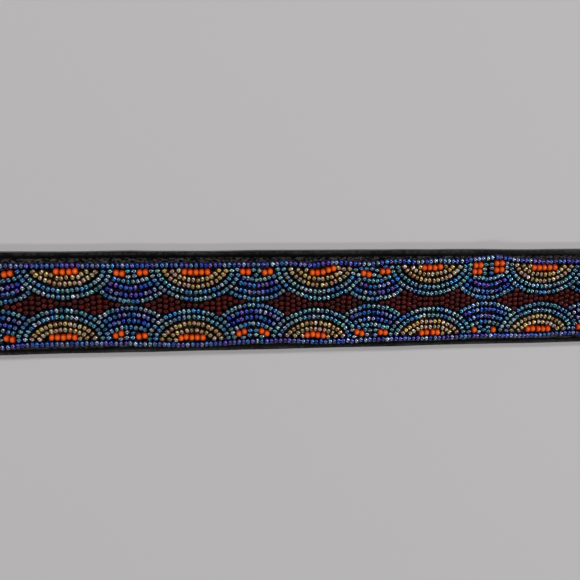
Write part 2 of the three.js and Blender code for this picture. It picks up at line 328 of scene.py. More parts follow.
@dataclass(frozen=True)
class GlassFinish:
    """Glass seed beads whose colour, with its painted highlights, painted reflections and painted shade, is held by
    each bead.

    Attributes:
        name: the material's name.
        metallic: how far the lustre mirrors in its own colour.
        roughness: the gloss of the glass itself.
        coat: the strength of the clear outer shine.
        mottle: how much the colour varies within a bead.
        shine: the strength of the glass's own reflection.
    """

    name: str
    metallic: float = 0.0
    roughness: float = 0.2
    coat: float = 0.5
    mottle: float = 0.3
    shine: float = 0.5

    def material(self) -> bpy.types.Material:
        """Builds the material."""
        graph = Graph(self.name)
        tint = graph.node("ShaderNodeAttribute", {"attribute_name": "tint"}, output="Color")
        cloud = graph.noise(graph.object_point(), 900.0, 2.0, 0.6)
        return graph.finish({
            "Base Color": graph.shade(tint, cloud * (2.0 * self.mottle) + (1.0 - self.mottle)),
            "Metallic": self.metallic,
            "Roughness": self.roughness + cloud * 0.06,
            "Specular IOR Level": self.shine,
            "Coat Weight": self.coat,
            "Coat Roughness": 0.03,
            "Coat IOR": 1.6,
        })


@dataclass(frozen=True)
class FloorFinish:
    """Plain pale studio floor.

    Attributes:
        colour: the floor.
    """

    colour: Colour = (0.565, 0.548, 0.548)

    def material(self) -> bpy.types.Material:
        """Builds the material."""
        graph = Graph("studio_floor")
        return graph.finish({"Base Color": full(self.colour), "Roughness": 0.95, "Specular IOR Level": 0.1})


# Meshes from arrays


def make_object(name: str, vertices: np.ndarray, faces: np.ndarray, smooth: bool = True) -> bpy.types.Object:
    """Puts arrays into a mesh and links its object at the origin.

    Args:
        name: the piece's name.
        vertices: points in metres, one a row.
        faces: corners of the four-sided faces, one face a row.
        smooth: whether the faces are shaded as one round surface.

    Returns:
        The new object.
    """
    mesh = bpy.data.meshes.new(name)
    mesh.vertices.add(len(vertices))
    mesh.vertices.foreach_set("co", np.asarray(vertices, np.float32).ravel())
    mesh.loops.add(faces.size)
    mesh.loops.foreach_set("vertex_index", np.asarray(faces, np.int32).ravel())
    mesh.polygons.add(len(faces))
    mesh.polygons.foreach_set("loop_start", np.arange(len(faces), dtype=np.int32) * faces.shape[1])
    mesh.update(calc_edges=True)
    mesh.validate()
    mesh.polygons.foreach_set("use_smooth", np.full(len(mesh.polygons), smooth))
    made = bpy.data.objects.new(name, mesh)
    bpy.context.scene.collection.objects.link(made)
    return made


@contextmanager
def edited(mesh: bpy.types.Mesh) -> Iterator[bmesh.types.BMesh]:
    """Opens a mesh for editing and writes it back at the end."""
    work = bmesh.new()
    work.from_mesh(mesh)
    yield work
    work.to_mesh(mesh)
    work.free()


def read(items: Any, name: str, width: int = 1, kind: type = np.float32) -> np.ndarray:
    """One attribute of every point, edge, face or corner of a mesh, as an array with so many columns."""
    values = np.empty(len(items) * width, kind)
    items.foreach_get(name, values)
    return values.reshape(-1, width) if width > 1 else values


def merge_and_turn_out(made: bpy.types.Object) -> None:
    """Merges a mesh's doubled points and points its faces outwards."""
    with edited(made.data) as work:
        bmesh.ops.remove_doubles(work, verts=work.verts, dist=1e-6)
        bmesh.ops.recalc_face_normals(work, faces=work.faces)


def round_edges(made: bpy.types.Object, radius: float, segments: int, limit: str) -> None:
    """Rounds a piece's edges with a live bevel and keeps its flat faces flat in the shading.

    Args:
        made: the piece.
        radius: of the rounding, in millimetres.
        segments: faces across it.
        limit: the bevel's way of choosing edges, WEIGHT or ANGLE.
    """
    bevel = made.modifiers.new("edge_rounding", "BEVEL")
    bevel.width = radius * MM
    bevel.segments = segments
    bevel.limit_method = limit
    bevel.angle_limit = math.radians(35.0)
    made.modifiers.new("flat_faces", "WEIGHTED_NORMAL").weight = 90
    made.data.polygons.foreach_set("use_smooth", np.full(len(made.data.polygons), True))


def grid_faces(rows: int, columns: int, close_rows: bool = False, close_columns: bool = False) -> np.ndarray:
    """Faces of a grid whose point (i, j) has the number i * columns + j.

    Args:
        rows: points along the first parameter.
        columns: points along the second parameter.
        close_rows: whether the last row joins the first.
        close_columns: whether the last column joins the first.

    Returns:
        Four corners a face.
    """
    i = np.arange(rows if close_rows else rows - 1)[:, None]
    j = np.arange(columns if close_columns else columns - 1)[None, :]
    i, j = np.broadcast_arrays(i, j)
    i, j = i.ravel(), j.ravel()
    i2, j2 = (i + 1) % rows, (j + 1) % columns
    return np.stack([i * columns + j, i2 * columns + j, i2 * columns + j2, i * columns + j2], axis=1)


def ripple(x: np.ndarray, wavelength: float, seed: int) -> np.ndarray:
    """Smooth seeded noise from -1 to 1 along a line: random heights a wavelength apart, joined by smoothsteps."""
    heights = np.random.default_rng(seed).uniform(-1.0, 1.0, 4096)
    place = x / wavelength + 1000.0
    left = np.floor(place).astype(int)
    t = place - left
    t = t * t * (3.0 - 2.0 * t)
    return heights[left % 4096] * (1.0 - t) + heights[(left + 1) % 4096] * t


def dress(piece: bpy.types.Object, material: bpy.types.Material, slot: str, *nodes: str) -> None:
    """Gives a piece its material, hangs it on the body that it rides on and hides the CAD nodes that it stands for.

    Args:
        piece: the finished object.
        material: its material.
        slot: the record's material slot. It is not used.
        nodes: the CAD nodes that it replaces.
    """
    piece.data.materials.clear()
    piece.data.materials.append(material)
    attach(piece, BODY)
    if nodes:
        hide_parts(*nodes)
    log.info("%s: %d faces", piece.name, len(piece.data.polygons))


def copied_node(node: str, name: str, flat_angle: float = 1.0) -> bpy.types.Object:
    """Copies a CAD node's mesh, merges its loose triangles and dissolves the flat ones.

    Args:
        node: the CAD node.
        name: the new piece's name.
        flat_angle: the largest angle, in degrees, between faces that are made one.

    Returns:
        The new object, at the origin.
    """
    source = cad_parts[node]
    made = bpy.data.objects.new(name, source.data.copy())
    made.data.name = name
    bpy.context.scene.collection.objects.link(made)
    with edited(made.data) as work:
        bmesh.ops.remove_doubles(work, verts=work.verts, dist=2e-6)
        bmesh.ops.dissolve_limit(work, angle_limit=math.radians(flat_angle), verts=work.verts, edges=work.edges)
    return made


def node_box(node: str) -> tuple[np.ndarray, np.ndarray]:
    """The lowest and highest corner of a CAD node in millimetres."""
    low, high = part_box(node)
    return np.array(low) / MM, np.array(high) / MM


# The bead chart


class Side(Enum):
    """The two halves of the beadwork, with the direction from the midline to each half's border."""

    UPPER = 1
    LOWER = -1


class Kind(Enum):
    """The kinds of bead, in the order of their numbers in the bead arrays."""

    BORDER = 0
    TEAL = 1
    NAVY = 2
    GOLD = 3
    GARNET = 4
    ORANGE = 5


@dataclass(frozen=True)
class BeadSort:
    """The size and colours of one kind of bead.

    Attributes:
        radius: across the thread, in millimetres.
        half_length: along the thread, in millimetres.
        bodies: colours that the glass takes, each as likely as it is often named.
        highlight_colours: colours of the painted highlight and reflection on the upturned side.
        spread: how much the sizes vary, as a share.
        shades: how much lighter or darker one bead is than the next, as a share.
        give: how readily it moves aside for its neighbours.
    """

    radius: float
    half_length: float
    bodies: tuple[Colour, ...]
    highlight_colours: tuple[Colour, ...]
    spread: float = 0.05
    shades: float = 0.3
    give: float = 1.0


# Each sort's second list of colours is a painted highlight and reflection, laid on the bead's upturned side.
SORTS: dict[Kind, BeadSort] = {
    Kind.BORDER: BeadSort(1.13, 0.8,
                          ((0.0, 0.01, 0.19), (0.002, 0.003, 0.21), (0.016, 0.0, 0.16), (0.0, 0.034, 0.17)),
                          ((0.06, 0.44, 0.72), (0.09, 0.2, 0.76), (0.32, 0.19, 0.62), (0.84, 0.98, 0.92)),
                          give=0.25),
    Kind.TEAL: BeadSort(1.13, 0.8,
                        ((0.0, 0.024, 0.11), (0.0, 0.036, 0.09), (0.0, 0.013, 0.145), (0.0, 0.036, 0.105)),
                        ((0.24, 0.76, 0.8), (0.46, 0.88, 0.68), (0.12, 0.5, 0.94), (1.0, 1.0, 0.96))),
    Kind.NAVY: BeadSort(1.13, 0.8,
                        ((0.0, 0.009, 0.19), (0.002, 0.001, 0.2), (0.0, 0.018, 0.18), (0.012, 0.0, 0.14),
                         (0.03, 0.0, 0.17)),
                        ((0.04, 0.36, 0.74), (0.02, 0.12, 0.74), (0.08, 0.48, 0.7), (0.86, 0.96, 0.88),
                         (0.36, 0.2, 0.72))),
    Kind.GOLD: BeadSort(1.13, 0.8,
                        ((0.14, 0.036, 0.0), (0.17, 0.042, 0.0), (0.11, 0.044, 0.003), (0.16, 0.024, 0.003)),
                        ((1.0, 0.9, 0.48), (1.0, 0.9, 0.32), (0.88, 1.0, 0.72), (1.0, 0.92, 0.86))),
    Kind.GARNET: BeadSort(1.14, 0.92,
                          ((0.028, 0.0006, 0.0006), (0.038, 0.0009, 0.0006), (0.022, 0.0006, 0.001)),
                          ((0.14, 0.02, 0.018), (0.17, 0.014, 0.009), (0.12, 0.028, 0.03)), 0.04, 0.3),
    Kind.ORANGE: BeadSort(1.26, 1.03,
                          ((0.52, 0.018, 0.0), (0.54, 0.022, 0.0)),
                          ((1.0, 0.145, 0.0), (1.0, 0.165, 0.0)), 0.03, 0.05, 0.35),
}


@dataclass(frozen=True)
class Arch:
    """One arch of the chart, in millimetres from the midline and from the middle arch.

    Attributes:
        centre: where its rows are centred along the belt.
        rows: where rows 2 to 5, counted from the border, cross its middle.
        large: the places of its orange beads.
        small: the places of the small beads between them.
    """

    centre: float
    rows: tuple[float, float, float, float]
    large: tuple[tuple[float, float], ...]
    small: tuple[tuple[float, float], ...] = ()


def run_of(first: float, last: float, count: int, start: float, end: float) -> tuple[tuple[float, float], ...]:
    """Beads in a short straight run: count of them from (first, start) to (last, end)."""
    return tuple(zip(np.linspace(first, last, count).tolist(), np.linspace(start, end, count).tolist()))


UPPER_ARCHES: tuple[Arch, ...] = (
    Arch(-90.7, (9.0, 6.3, 4.2, 1.3), ((-96.4, 11.6), (-94.3, 11.5), (-87.6, 11.5), (-85.5, 11.5)),
         ((-92.1, 12.2), (-90.1, 12.2), (-91.1, 10.7))),
    Arch(-67.2, (10.4, 8.0, 5.4, 3.0), run_of(-70.0, -63.3, 4, 12.4, 12.4)),
    Arch(-44.0, (8.5, 6.1, 3.5, 1.2), ((-49.2, 11.5), (-47.1, 11.5), (-40.9, 11.8), (-38.8, 11.8)),
         ((-45.1, 12.4), (-45.0, 10.6), (-42.9, 12.4), (-42.9, 10.6))),
    Arch(-21.0, (8.85, 6.5, 4.2, 1.7), run_of(-24.9, -16.7, 5, 11.8, 11.8)),
    Arch(1.6, (8.85, 6.5, 4.0, 1.4), ((-3.9, 11.7), (-1.8, 11.7), (4.3, 11.5), (6.4, 11.5)),
         ((0.2, 12.2), (1.2, 10.6), (2.3, 12.1))),
    Arch(25.2, (8.85, 6.5, 4.0, 1.4), ((22.2, 11.1), (24.2, 11.2), (26.2, 11.5), (28.1, 12.0), (30.0, 12.6))),
    Arch(46.1, (7.9, 5.6, 3.2, 0.85), ((41.4, 11.0), (43.4, 10.4), (48.8, 11.5), (50.9, 11.5)),
         ((45.0, 12.4), (45.6, 10.1), (46.9, 12.0))),
    Arch(68.5, (10.4, 7.7, 5.2, 2.7), run_of(65.3, 71.5, 4, 12.5, 12.9)),
    Arch(91.0, (8.15, 5.7, 3.15, 0.8),
         ((85.2, 13.4), (87.3, 13.5), (85.2, 10.9), (87.3, 10.9),
          (94.2, 14.2), (96.3, 14.3), (94.2, 11.6), (96.3, 11.6)),
         ((89.2, 13.8), (89.2, 12.1), (89.3, 10.4), (92.2, 14.0), (92.2, 12.3), (92.2, 10.5))),
    Arch(113.7, (9.6, 7.2, 5.0, 2.5), run_of(109.4, 117.8, 5, 12.3, 12.4)),
)
LOWER_ARCHES: tuple[Arch, ...] = (
    Arch(-92.1, (-8.7, -6.5, -4.0, -1.5), ((-97.4, -12.0), (-95.4, -11.8), (-88.7, -11.9), (-86.7, -12.4)),
         ((-93.2, -12.6), (-93.2, -10.8), (-91.1, -12.4), (-91.1, -10.7))),
    Arch(-68.9, (-9.0, -6.7, -4.2, -1.7), run_of(-73.3, -64.9, 5, -11.9, -11.9)),
    Arch(-45.2, (-8.5, -6.0, -3.7, -1.2), ((-50.5, -11.4), (-48.5, -10.8), (-42.0, -12.1), (-39.9, -12.1)),
         ((-46.6, -12.4), (-46.5, -10.6), (-44.4, -12.5), (-44.4, -10.7))),
    Arch(-22.9, (-10.1, -7.4, -5.0, -2.7), run_of(-27.0, -18.8, 5, -13.0, -13.0)),
    Arch(-0.2, (-7.9, -5.4, -3.0, -0.8), ((-5.2, -11.8), (-3.3, -11.2), (3.2, -11.2), (5.1, -11.9)),
         ((-1.3, -12.5), (-1.3, -10.6), (1.1, -12.5), (1.1, -10.6))),
    Arch(23.5, (-10.6, -8.2, -5.7, -3.1), ((20.7, -12.6), (22.7, -12.7), (24.7, -13.0), (26.6, -13.4))),
    Arch(45.5, (-9.2, -6.8, -4.3, -1.9), ((39.5, -12.6), (41.6, -12.6), (49.2, -12.4), (51.3, -12.4)),
         ((43.7, -13.0), (44.9, -11.5), (47.1, -11.5), (47.2, -13.3))),
    Arch(69.1, (-10.6, -8.3, -5.8, -3.3), run_of(65.7, 72.2, 4, -12.9, -12.9)),
    Arch(91.1, (-8.85, -6.5, -3.9, -1.5), ((87.0, -12.3), (94.7, -12.4)),
         ((89.1, -12.9), (89.3, -11.1), (91.0, -12.6), (92.6, -12.9), (92.5, -11.1))),
    Arch(113.7, (-9.4, -7.1, -4.6, -2.1), run_of(109.2, 117.6, 5, -12.3, -12.3)),
)
UPPER_BORDER: tuple[tuple[float, float], ...] = (
    (-88.9, 14.6), (-66.5, 14.4), (-39.0, 14.4), (-21.1, 14.3), (2.6, 14.4), (13.7, 14.9), (22.4, 13.8), (29.5, 15.1),
    (36.4, 14.5), (42.9, 14.1), (54.5, 15.4), (63.5, 14.7), (69.4, 15.5), (79.3, 14.9), (87.3, 15.9), (95.2, 16.7),
    (101.4, 15.6), (113.8, 14.6), (126.3, 14.9),
)
LOWER_BORDER: tuple[tuple[float, float], ...] = (
    (-91.5, -15.6), (-82.8, -14.4), (-68.4, -14.4), (-56.3, -14.3), (-40.1, -14.9), (-23.6, -15.8), (-14.3, -15.5),
    (-1.2, -14.9), (12.1, -14.8), (17.9, -15.1), (25.7, -15.7), (41.3, -15.3), (57.2, -15.1), (69.3, -15.2),
    (85.6, -14.7), (98.1, -14.6), (110.7, -15.1), (119.1, -14.5), (129.7, -14.0),
)


@dataclass(frozen=True)
class Lustre:
    """How the light lies on a bead, painted into its colour: a painted highlight ring, a painted dark reflection and
    painted shade at the hole.

    Attributes:
        ring_lean: how far the ring of light leans from the bead's top, in degrees.
        ring_reach: how far that ring reaches along the thread, as a share of the half length.
        ring_width: width of the ring, as a share of its radius.
        gap: half of what the ring loses on two opposite sides, as a share.
        weakest: strength of the weakest ring.
        dot_width: width of the dark dot in its middle, a painted dark reflection.
        dot_depth: how dark the dot is.
        plain_width: width of the painted highlight in the middle of a plain bead.
        plain_weakest: strength of the weakest such middle.
        blending: the largest share of a second colour in a bead.
        hole_shade: how much light the wall gets at its hole, as a share.
        hole_radius: share of the bead's radius up to which the wall is that dark.
        hole_fade: share of the radius over which it lightens.
    """

    ring_lean: float = 31.0
    ring_reach: float = 0.52
    ring_width: float = 0.36
    gap: float = 0.4
    weakest: float = 0.38
    dot_width: float = 0.5
    dot_depth: float = 0.85
    plain_width: float = 1.5
    plain_weakest: float = 0.8
    blending: float = 0.45
    hole_shade: float = 0.5
    hole_radius: float = 0.36
    hole_fade: float = 0.54


@dataclass
class BeadField:
    """Many beads as arrays, in millimetres from the middle of the beadwork.

    Attributes:
        place: x and y of each bead.
        turn: direction of each bead's thread, in radians from X.
        kind: the number of each bead's kind.
        side: 1 in the upper half and -1 in the lower one.
    """

    place: np.ndarray = field(default_factory=lambda: np.zeros((0, 2)))
    turn: np.ndarray = field(default_factory=lambda: np.zeros(0))
    kind: np.ndarray = field(default_factory=lambda: np.zeros(0, int))
    side: np.ndarray = field(default_factory=lambda: np.zeros(0, int))

    def add(self, place: np.ndarray, turn: np.ndarray, kind: Kind, side: int) -> None:
        """Adds beads of one kind on one side."""
        count = len(place)
        self.place = np.concatenate([self.place, place])
        self.turn = np.concatenate([self.turn, turn])
        self.kind = np.concatenate([self.kind, np.full(count, kind.value)])
        self.side = np.concatenate([self.side, np.full(count, side)])

    def chosen(self, mask: np.ndarray) -> "BeadField":
        """The beads that a mask picks."""
        return BeadField(self.place[mask], self.turn[mask], self.kind[mask], self.side[mask])

    def each(self, name: str) -> np.ndarray:
        """One number of every bead's sort, such as its radius."""
        return np.array([getattr(SORTS[kind], name) for kind in Kind])[self.kind]


@dataclass
class Beadwork:
    """The panel of seed beads: two facing lines of arches, the lozenges between them and the border rows.

    Attributes:
        centre_x: the middle of the beadwork along the belt.
        half_length: from the middle to the end columns.
        ground_top: the height that the beads rest on.
        pitch: from arch to arch.
        charted: arches in the chart, after which it repeats.
        first: the number of the chart's first arch, counted from the middle one.
        bead_pitch: from bead to bead along a row.
        half_widths: of rows 2 to 5, where they meet the border.
        roundness: of the same rows. 2 makes a row elliptical, less makes it more pointed.
        clearance: between the centres of a border row and of the first bead of a row that meets it.
        row_room: between a fan's outer row and the rows that end at it.
        column_pitch: from column to column in the lozenges.
        column_bead_pitch: from bead to bead in a column.
        smallest_hole: a place this far from every bead gets one more bead.
        hole_step: spacing of the grid that such places are looked for on.
        end_room: least distance of other beads from the end columns.
        lozenge_end: from the end columns to the first column of garnet beads.
        lozenge_room: between the arches' outline and the centres of the garnet beads, past a bead's radius.
        squeeze: how far a column of garnet beads may be too tight for one bead.
        looseness: the loosest pitch in such a column, as a share of the even one.
        smoothing: half the length that a border line is averaged over.
        place_jitter: chance in a bead's place.
        turn_jitter: chance in its direction, in radians.
        closeness: how near beads may come, as a share of touching.
        largest_push: the most that two beads are pushed apart in one round.
        eagerness: share of the push that a bead follows.
        spring: share of its way home that a bead springs back in one round.
        leans: how far the points round a bead lean from its top, in degrees.
        lustre: the light on the beads.
        radius_chance: chance in a bead's radius, as a share of its sort's spread.
        length_chance: chance in its length.
        tilt: chance in the tilt of its thread, in radians.
        lift: least and most height above the ground.
    """

    centre_x: float
    half_length: float
    ground_top: float
    pitch: float = 22.75
    charted: int = 10
    first: int = -4
    bead_pitch: float = 1.74
    half_widths: tuple[float, float, float, float] = (9.2, 11.6, 13.9, 16.2)
    roundness: tuple[float, float, float, float] = (1.85, 1.85, 2.0, 2.0)
    clearance: float = 2.0
    row_room: float = 2.1
    column_pitch: float = 2.14
    column_bead_pitch: float = 1.78
    smallest_hole: float = 1.72
    hole_step: float = 0.3
    end_room: float = 1.9
    lozenge_end: float = 2.2
    lozenge_room: float = 0.68
    squeeze: float = 0.25
    looseness: float = 1.08
    smoothing: float = 2.6
    place_jitter: float = 0.07
    turn_jitter: float = 0.09
    closeness: float = 0.985
    largest_push: float = 0.6
    eagerness: float = 0.6
    spring: float = 0.04
    leans: tuple[float, ...] = (0.0, 30.0, 56.0, 96.0, 146.0, -146.0, -96.0, -56.0, -30.0)
    lustre: Lustre = Lustre()
    radius_chance: float = 0.6
    length_chance: float = 0.8
    tilt: float = 0.1
    lift: tuple[float, float] = (-0.05, 0.12)

    def border_y(self, side: Side, x: np.ndarray) -> np.ndarray:
        """The wavy line of a border row: a straight line between charted points, smoothed over a few beads.

        Args:
            side: the half of the beadwork.
            x: places along the belt.

        Returns:
            The line's distance from the midline, signed.
        """
        points = np.array(UPPER_BORDER if side is Side.UPPER else LOWER_BORDER)
        period = self.pitch * self.charted
        spread = np.linspace(-self.smoothing, self.smoothing, 7)
        samples = np.asarray(x, float)[..., None] + spread
        return np.interp(samples, points[:, 0], points[:, 1], period=period).mean(axis=-1)

    def border_at(self, side: Side, x: float) -> float:
        """The border row's distance from the midline, signed, at one place along the belt."""
        return float(self.border_y(side, np.array([x]))[0])

    def arches(self, side: Side) -> list[tuple[int, float, Arch]]:
        """Every arch that reaches the beadwork: its number, how far it is moved from its charted twin, the twin."""
        chart = UPPER_ARCHES if side is Side.UPPER else LOWER_ARCHES
        last = int(self.half_length / self.pitch) + 1
        found = []
        for number in range(-last, last + 1):
            lap, index = divmod(number - self.first, self.charted)
            found.append((number, lap * self.charted * self.pitch, chart[index]))
        return found

    def row_curve(self, side: Side, centre: float, row: int, crossing: float) -> np.ndarray:
        """A row's line: a half superellipse that hangs from the border line.

        Its points are centre plus half_width times the signed power of a cosine, and the border line less the
        depth times the same power of a sine, over half a turn.

        Args:
            side: the half of the beadwork.
            centre: the arch's middle along the belt.
            row: 0 for row 2, the first that goes round the orange beads, to 3 for row 5.
            crossing: where the row crosses the arch's middle.

        Returns:
            Points in order, without those too near the border row.
        """
        angle = np.linspace(0.0, math.pi, 500)
        power = 2.0 / self.roundness[row]
        x = centre - self.half_widths[row] * np.sign(np.cos(angle)) * np.abs(np.cos(angle)) ** power
        base = self.border_at(side, centre)
        y = base - (base - crossing) * np.sin(angle) ** power
        points = np.stack([x, y], axis=1)
        clear = side.value * (self.border_y(side, x) - y) > self.clearance
        return points[clear]

    def strung(self, curve: np.ndarray, pitch: float) -> tuple[np.ndarray, np.ndarray]:
        """Beads threaded on a curve at an even pitch, as many as fit.

        Args:
            curve: points in order.
            pitch: the pitch that they are closest to.

        Returns:
            The beads' places and the directions of their thread.
        """
        steps = np.hypot(*np.diff(curve, axis=0).T)
        length = np.concatenate([[0.0], np.cumsum(steps)])
        count = max(2, int(round(length[-1] / pitch)) + 1)
        at = np.linspace(0.0, length[-1], count)
        place = np.stack([np.interp(at, length, curve[:, 0]), np.interp(at, length, curve[:, 1])], axis=1)
        reach = 0.3
        ahead, behind = (
            np.stack([np.interp(at + step, length, curve[:, i]) for i in (0, 1)], axis=1) for step in (reach, -reach)
        )
        way = ahead - behind
        return place, np.arctan2(way[:, 1], way[:, 0])

    def depth_in(self, side: Side, centre: float, row: int, crossing: float, room: float,
                 place: np.ndarray) -> np.ndarray:
        """How far out points lie from a row that is widened by a room: the superellipse's own sum of powers."""
        base = self.border_at(side, centre)
        across = np.abs(place[:, 0] - centre) / (self.half_widths[row] + room)
        down = side.value * (base - place[:, 1]) / (abs(base - crossing) + room)
        power = self.roundness[row]
        return (across**power + np.abs(down) ** power) ** (1.0 / power)

    def arch_beads(self, side: Side, into: BeadField) -> None:
        """Adds the rows and the orange beads of every arch on one side.

        A fan's rows are whole, and the rows of the plain arch beside it end where they meet its outer row.
        """
        found = self.arches(side)
        fans = [(shift + arch.centre, arch.rows[3]) for number, shift, arch in found if number % 2]
        sign = side.value
        for number, shift, arch in found:
            fan = bool(number % 2)
            for row, crossing in enumerate(arch.rows):
                curve = self.row_curve(side, arch.centre + shift, row, crossing)
                if not fan:
                    curve = self.cut_by_fans(side, curve, fans)
                if len(curve) < 4:
                    continue
                place, turn = self.strung(curve, self.bead_pitch)
                golden = fan and row < 2
                deep = not fan and row in (1, 2)
                into.add(place, turn, Kind.GOLD if golden else Kind.NAVY if deep else Kind.TEAL, sign)
            for beads, kind in ((arch.large, Kind.ORANGE), (arch.small, Kind.TEAL)):
                if beads:
                    place = np.array(beads) + [shift, 0.0]
                    upright = math.pi / 2 if kind is Kind.TEAL else 0.0
                    into.add(place, np.full(len(place), upright), kind, sign)

    def cut_by_fans(self, side: Side, curve: np.ndarray, fans: list[tuple[float, float]]) -> np.ndarray:
        """The part of a plain arch's row that no fan covers."""
        keep = np.ones(len(curve), bool)
        for centre, crossing in fans:
            keep &= self.depth_in(side, centre, 3, crossing, self.row_room, curve) > 1.0
        return curve[keep]

    def outline_at(self, side: Side, x: np.ndarray) -> np.ndarray:
        """The innermost line of a side's arches at places along the belt, from their outer rows' superellipses."""
        base = self.border_y(side, x)
        reach = np.zeros_like(x)
        power = self.roundness[3]
        for _, shift, arch in self.arches(side):
            across = np.clip(np.abs(x - arch.centre - shift) / self.half_widths[3], 0.0, 1.0)
            start = self.border_at(side, arch.centre + shift)
            depth = abs(start - arch.rows[3]) * (1.0 - across**power) ** (1.0 / power)
            reach = np.maximum(reach, np.where(across < 1.0, depth - abs(start) + abs(base), 0.0))
        return base - side.value * reach

    def lozenge_beads(self, into: BeadField) -> None:
        """Adds the garnet columns: beads threaded straight across the belt, centred between the arches."""
        limit = self.half_length - self.lozenge_end
        columns = np.arange(-limit, limit, self.column_pitch)
        room = SORTS[Kind.TEAL].radius + self.lozenge_room
        top = self.outline_at(Side.UPPER, columns) - room
        bottom = self.outline_at(Side.LOWER, columns) + room
        counts = np.floor((top - bottom) / self.column_bead_pitch).astype(int) + 1
        for x, low, high, count in zip(columns, bottom, top, counts):
            if high - low < -self.squeeze:
                continue
            count = max(1, count)
            pitch = min(self.column_bead_pitch * self.looseness, (high - low) / max(1, count - 1))
            y = (low + high) / 2 + (np.arange(count) - (count - 1) / 2) * pitch
            place = np.stack([np.full(count, x), y], axis=1)
            into.add(place, np.full(count, math.pi / 2), Kind.GARNET, 0)

    def border_beads(self, into: BeadField) -> None:
        """Adds the two border rows along their wavy lines and the columns that close the panel's ends."""
        x = np.linspace(-self.half_length, self.half_length, 4000)
        for side in Side:
            curve = np.stack([x, self.border_y(side, x)], axis=1)
            place, turn = self.strung(curve, self.bead_pitch)
            into.add(place, turn, Kind.BORDER, side.value)
        for end in (-1, 1):
            at = end * self.half_length
            top = self.border_at(Side.UPPER, at) - self.clearance
            bottom = self.border_at(Side.LOWER, at) + self.clearance
            curve = np.stack([np.full(50, at), np.linspace(bottom, top, 50)], axis=1)
            place, turn = self.strung(curve, self.bead_pitch)
            into.add(place, turn, Kind.BORDER, 2 * end)

    def laid_out(self) -> BeadField:
        """All the beads in their places, pushed apart where they would overlap."""
        beads = BeadField()
        self.border_beads(beads)
        for side in Side:
            self.arch_beads(side, beads)
        self.lozenge_beads(beads)
        inside = np.abs(beads.place[:, 0]) < self.half_length - self.end_room
        beads = beads.chosen(inside | (beads.kind == Kind.BORDER.value))
        self.settle(beads, rounds=12)
        self.fill_holes(beads)
        rng = np.random.default_rng(SEED)
        beads.place = beads.place + rng.normal(0.0, self.place_jitter, beads.place.shape)
        beads.turn = beads.turn + rng.normal(0.0, self.turn_jitter, len(beads.turn))
        self.settle(beads)
        return beads

    def fill_holes(self, beads: BeadField) -> None:
        """Adds a bead wherever the rows leave a hole that one fits in, as the sewer does, biggest hole first.

        Holes are looked for on a fine grid. The new bead is like the nearest bead that isn't orange or in a
        border row, and its thread runs the same way.
        """
        half_length, half_width = self.half_length - 1.8, 16.0
        x = np.arange(-half_length, half_length, self.hole_step)
        y = np.arange(-half_width, half_width, self.hole_step)
        grid = np.stack(np.meshgrid(x, y, indexing="ij"), axis=-1).reshape(-1, 2)
        room = self.smallest_hole
        below = self.border_y(Side.UPPER, grid[:, 0]) - grid[:, 1] > room
        above = grid[:, 1] - self.border_y(Side.LOWER, grid[:, 0]) > room
        grid = grid[below & above]
        far, _ = self.nearest(grid, beads.place)
        grid, far = grid[far > room], far[far > room]
        added = []
        while len(grid):
            best = int(np.argmax(far))
            spot = grid[best]
            added.append(spot)
            apart = np.hypot(*(grid - spot).T)
            keep = apart > room
            grid, far = grid[keep], np.minimum(far, apart)[keep]
        if not added:
            return
        places = np.array(added)
        models = beads.chosen((beads.kind != Kind.ORANGE.value) & (beads.kind != Kind.BORDER.value))
        _, like = self.nearest(places, models.place)
        side = np.where(places[:, 1] > 0, 1, -1)
        side[models.kind[like] == Kind.GARNET.value] = 0
        beads.place = np.concatenate([beads.place, places])
        beads.turn = np.concatenate([beads.turn, models.turn[like]])
        beads.kind = np.concatenate([beads.kind, models.kind[like]])
        beads.side = np.concatenate([beads.side, side])
        log.info("%d beads fill holes", len(places))

    @staticmethod
    def nearest(points: np.ndarray, others: np.ndarray) -> tuple[np.ndarray, np.ndarray]:
        """Each point's distance from the nearest of some others, and that one's number.

        The points are taken in the order of x, a stretch at a time, and compared with the others near that stretch.
        """
        far = np.empty(len(points))
        which = np.empty(len(points), int)
        stretch, margin = 1500, 6.0
        for mine in np.array_split(np.argsort(points[:, 0], kind="stable"), max(1, len(points) // stretch)):
            x = points[mine, 0]
            near = np.flatnonzero((others[:, 0] > x.min() - margin) & (others[:, 0] < x.max() + margin))
            apart = np.hypot(*(points[mine, None, :] - others[None, near, :]).transpose(2, 0, 1))
            best = apart.argmin(axis=1)
            far[mine], which[mine] = apart[np.arange(len(mine)), best], near[best]
        return far, which

    def settle(self, beads: BeadField, rounds: int = 40, reach: int = 34) -> None:
        """Pushes overlapping beads apart and lets each spring back a little towards its own place.

        A bead's extent towards a neighbour is that of an ellipse with its half length along its thread and its
        radius across it. Neighbours are found among the beads that follow it in the order of x.

        Args:
            beads: the beads, whose places are changed.
            rounds: how often all pairs are looked at.
            reach: how many beads further along are looked at.
        """
        home = beads.place.copy()
        length, radius, give = (beads.each(name) for name in ("half_length", "radius", "give"))
        axis = np.stack([np.cos(beads.turn), np.sin(beads.turn)], axis=1)
        place = beads.place
        for _ in range(rounds):
            order = np.argsort(place[:, 0], kind="stable")
            move = np.zeros_like(place)
            for step in range(1, reach):
                a, b = order[:-step], order[step:]
                way = place[b] - place[a]
                gap = np.hypot(way[:, 0], way[:, 1]) + 1e-9
                way = way / gap[:, None]
                need = np.zeros(len(a))
                for one in (a, b):
                    along = np.abs((way * axis[one]).sum(axis=1))
                    need += np.sqrt((length[one] * along) ** 2 + (radius[one] ** 2) * (1.0 - along**2))
                push = np.clip(need * self.closeness - gap, 0.0, self.largest_push)[:, None] * way
                total = (give[a] + give[b])[:, None]
                move[a] -= push * give[a][:, None] / total
                move[b] += push * give[b][:, None] / total
            place = place + self.eagerness * move
            place = place + self.spring * (home - place)
        beads.place = place

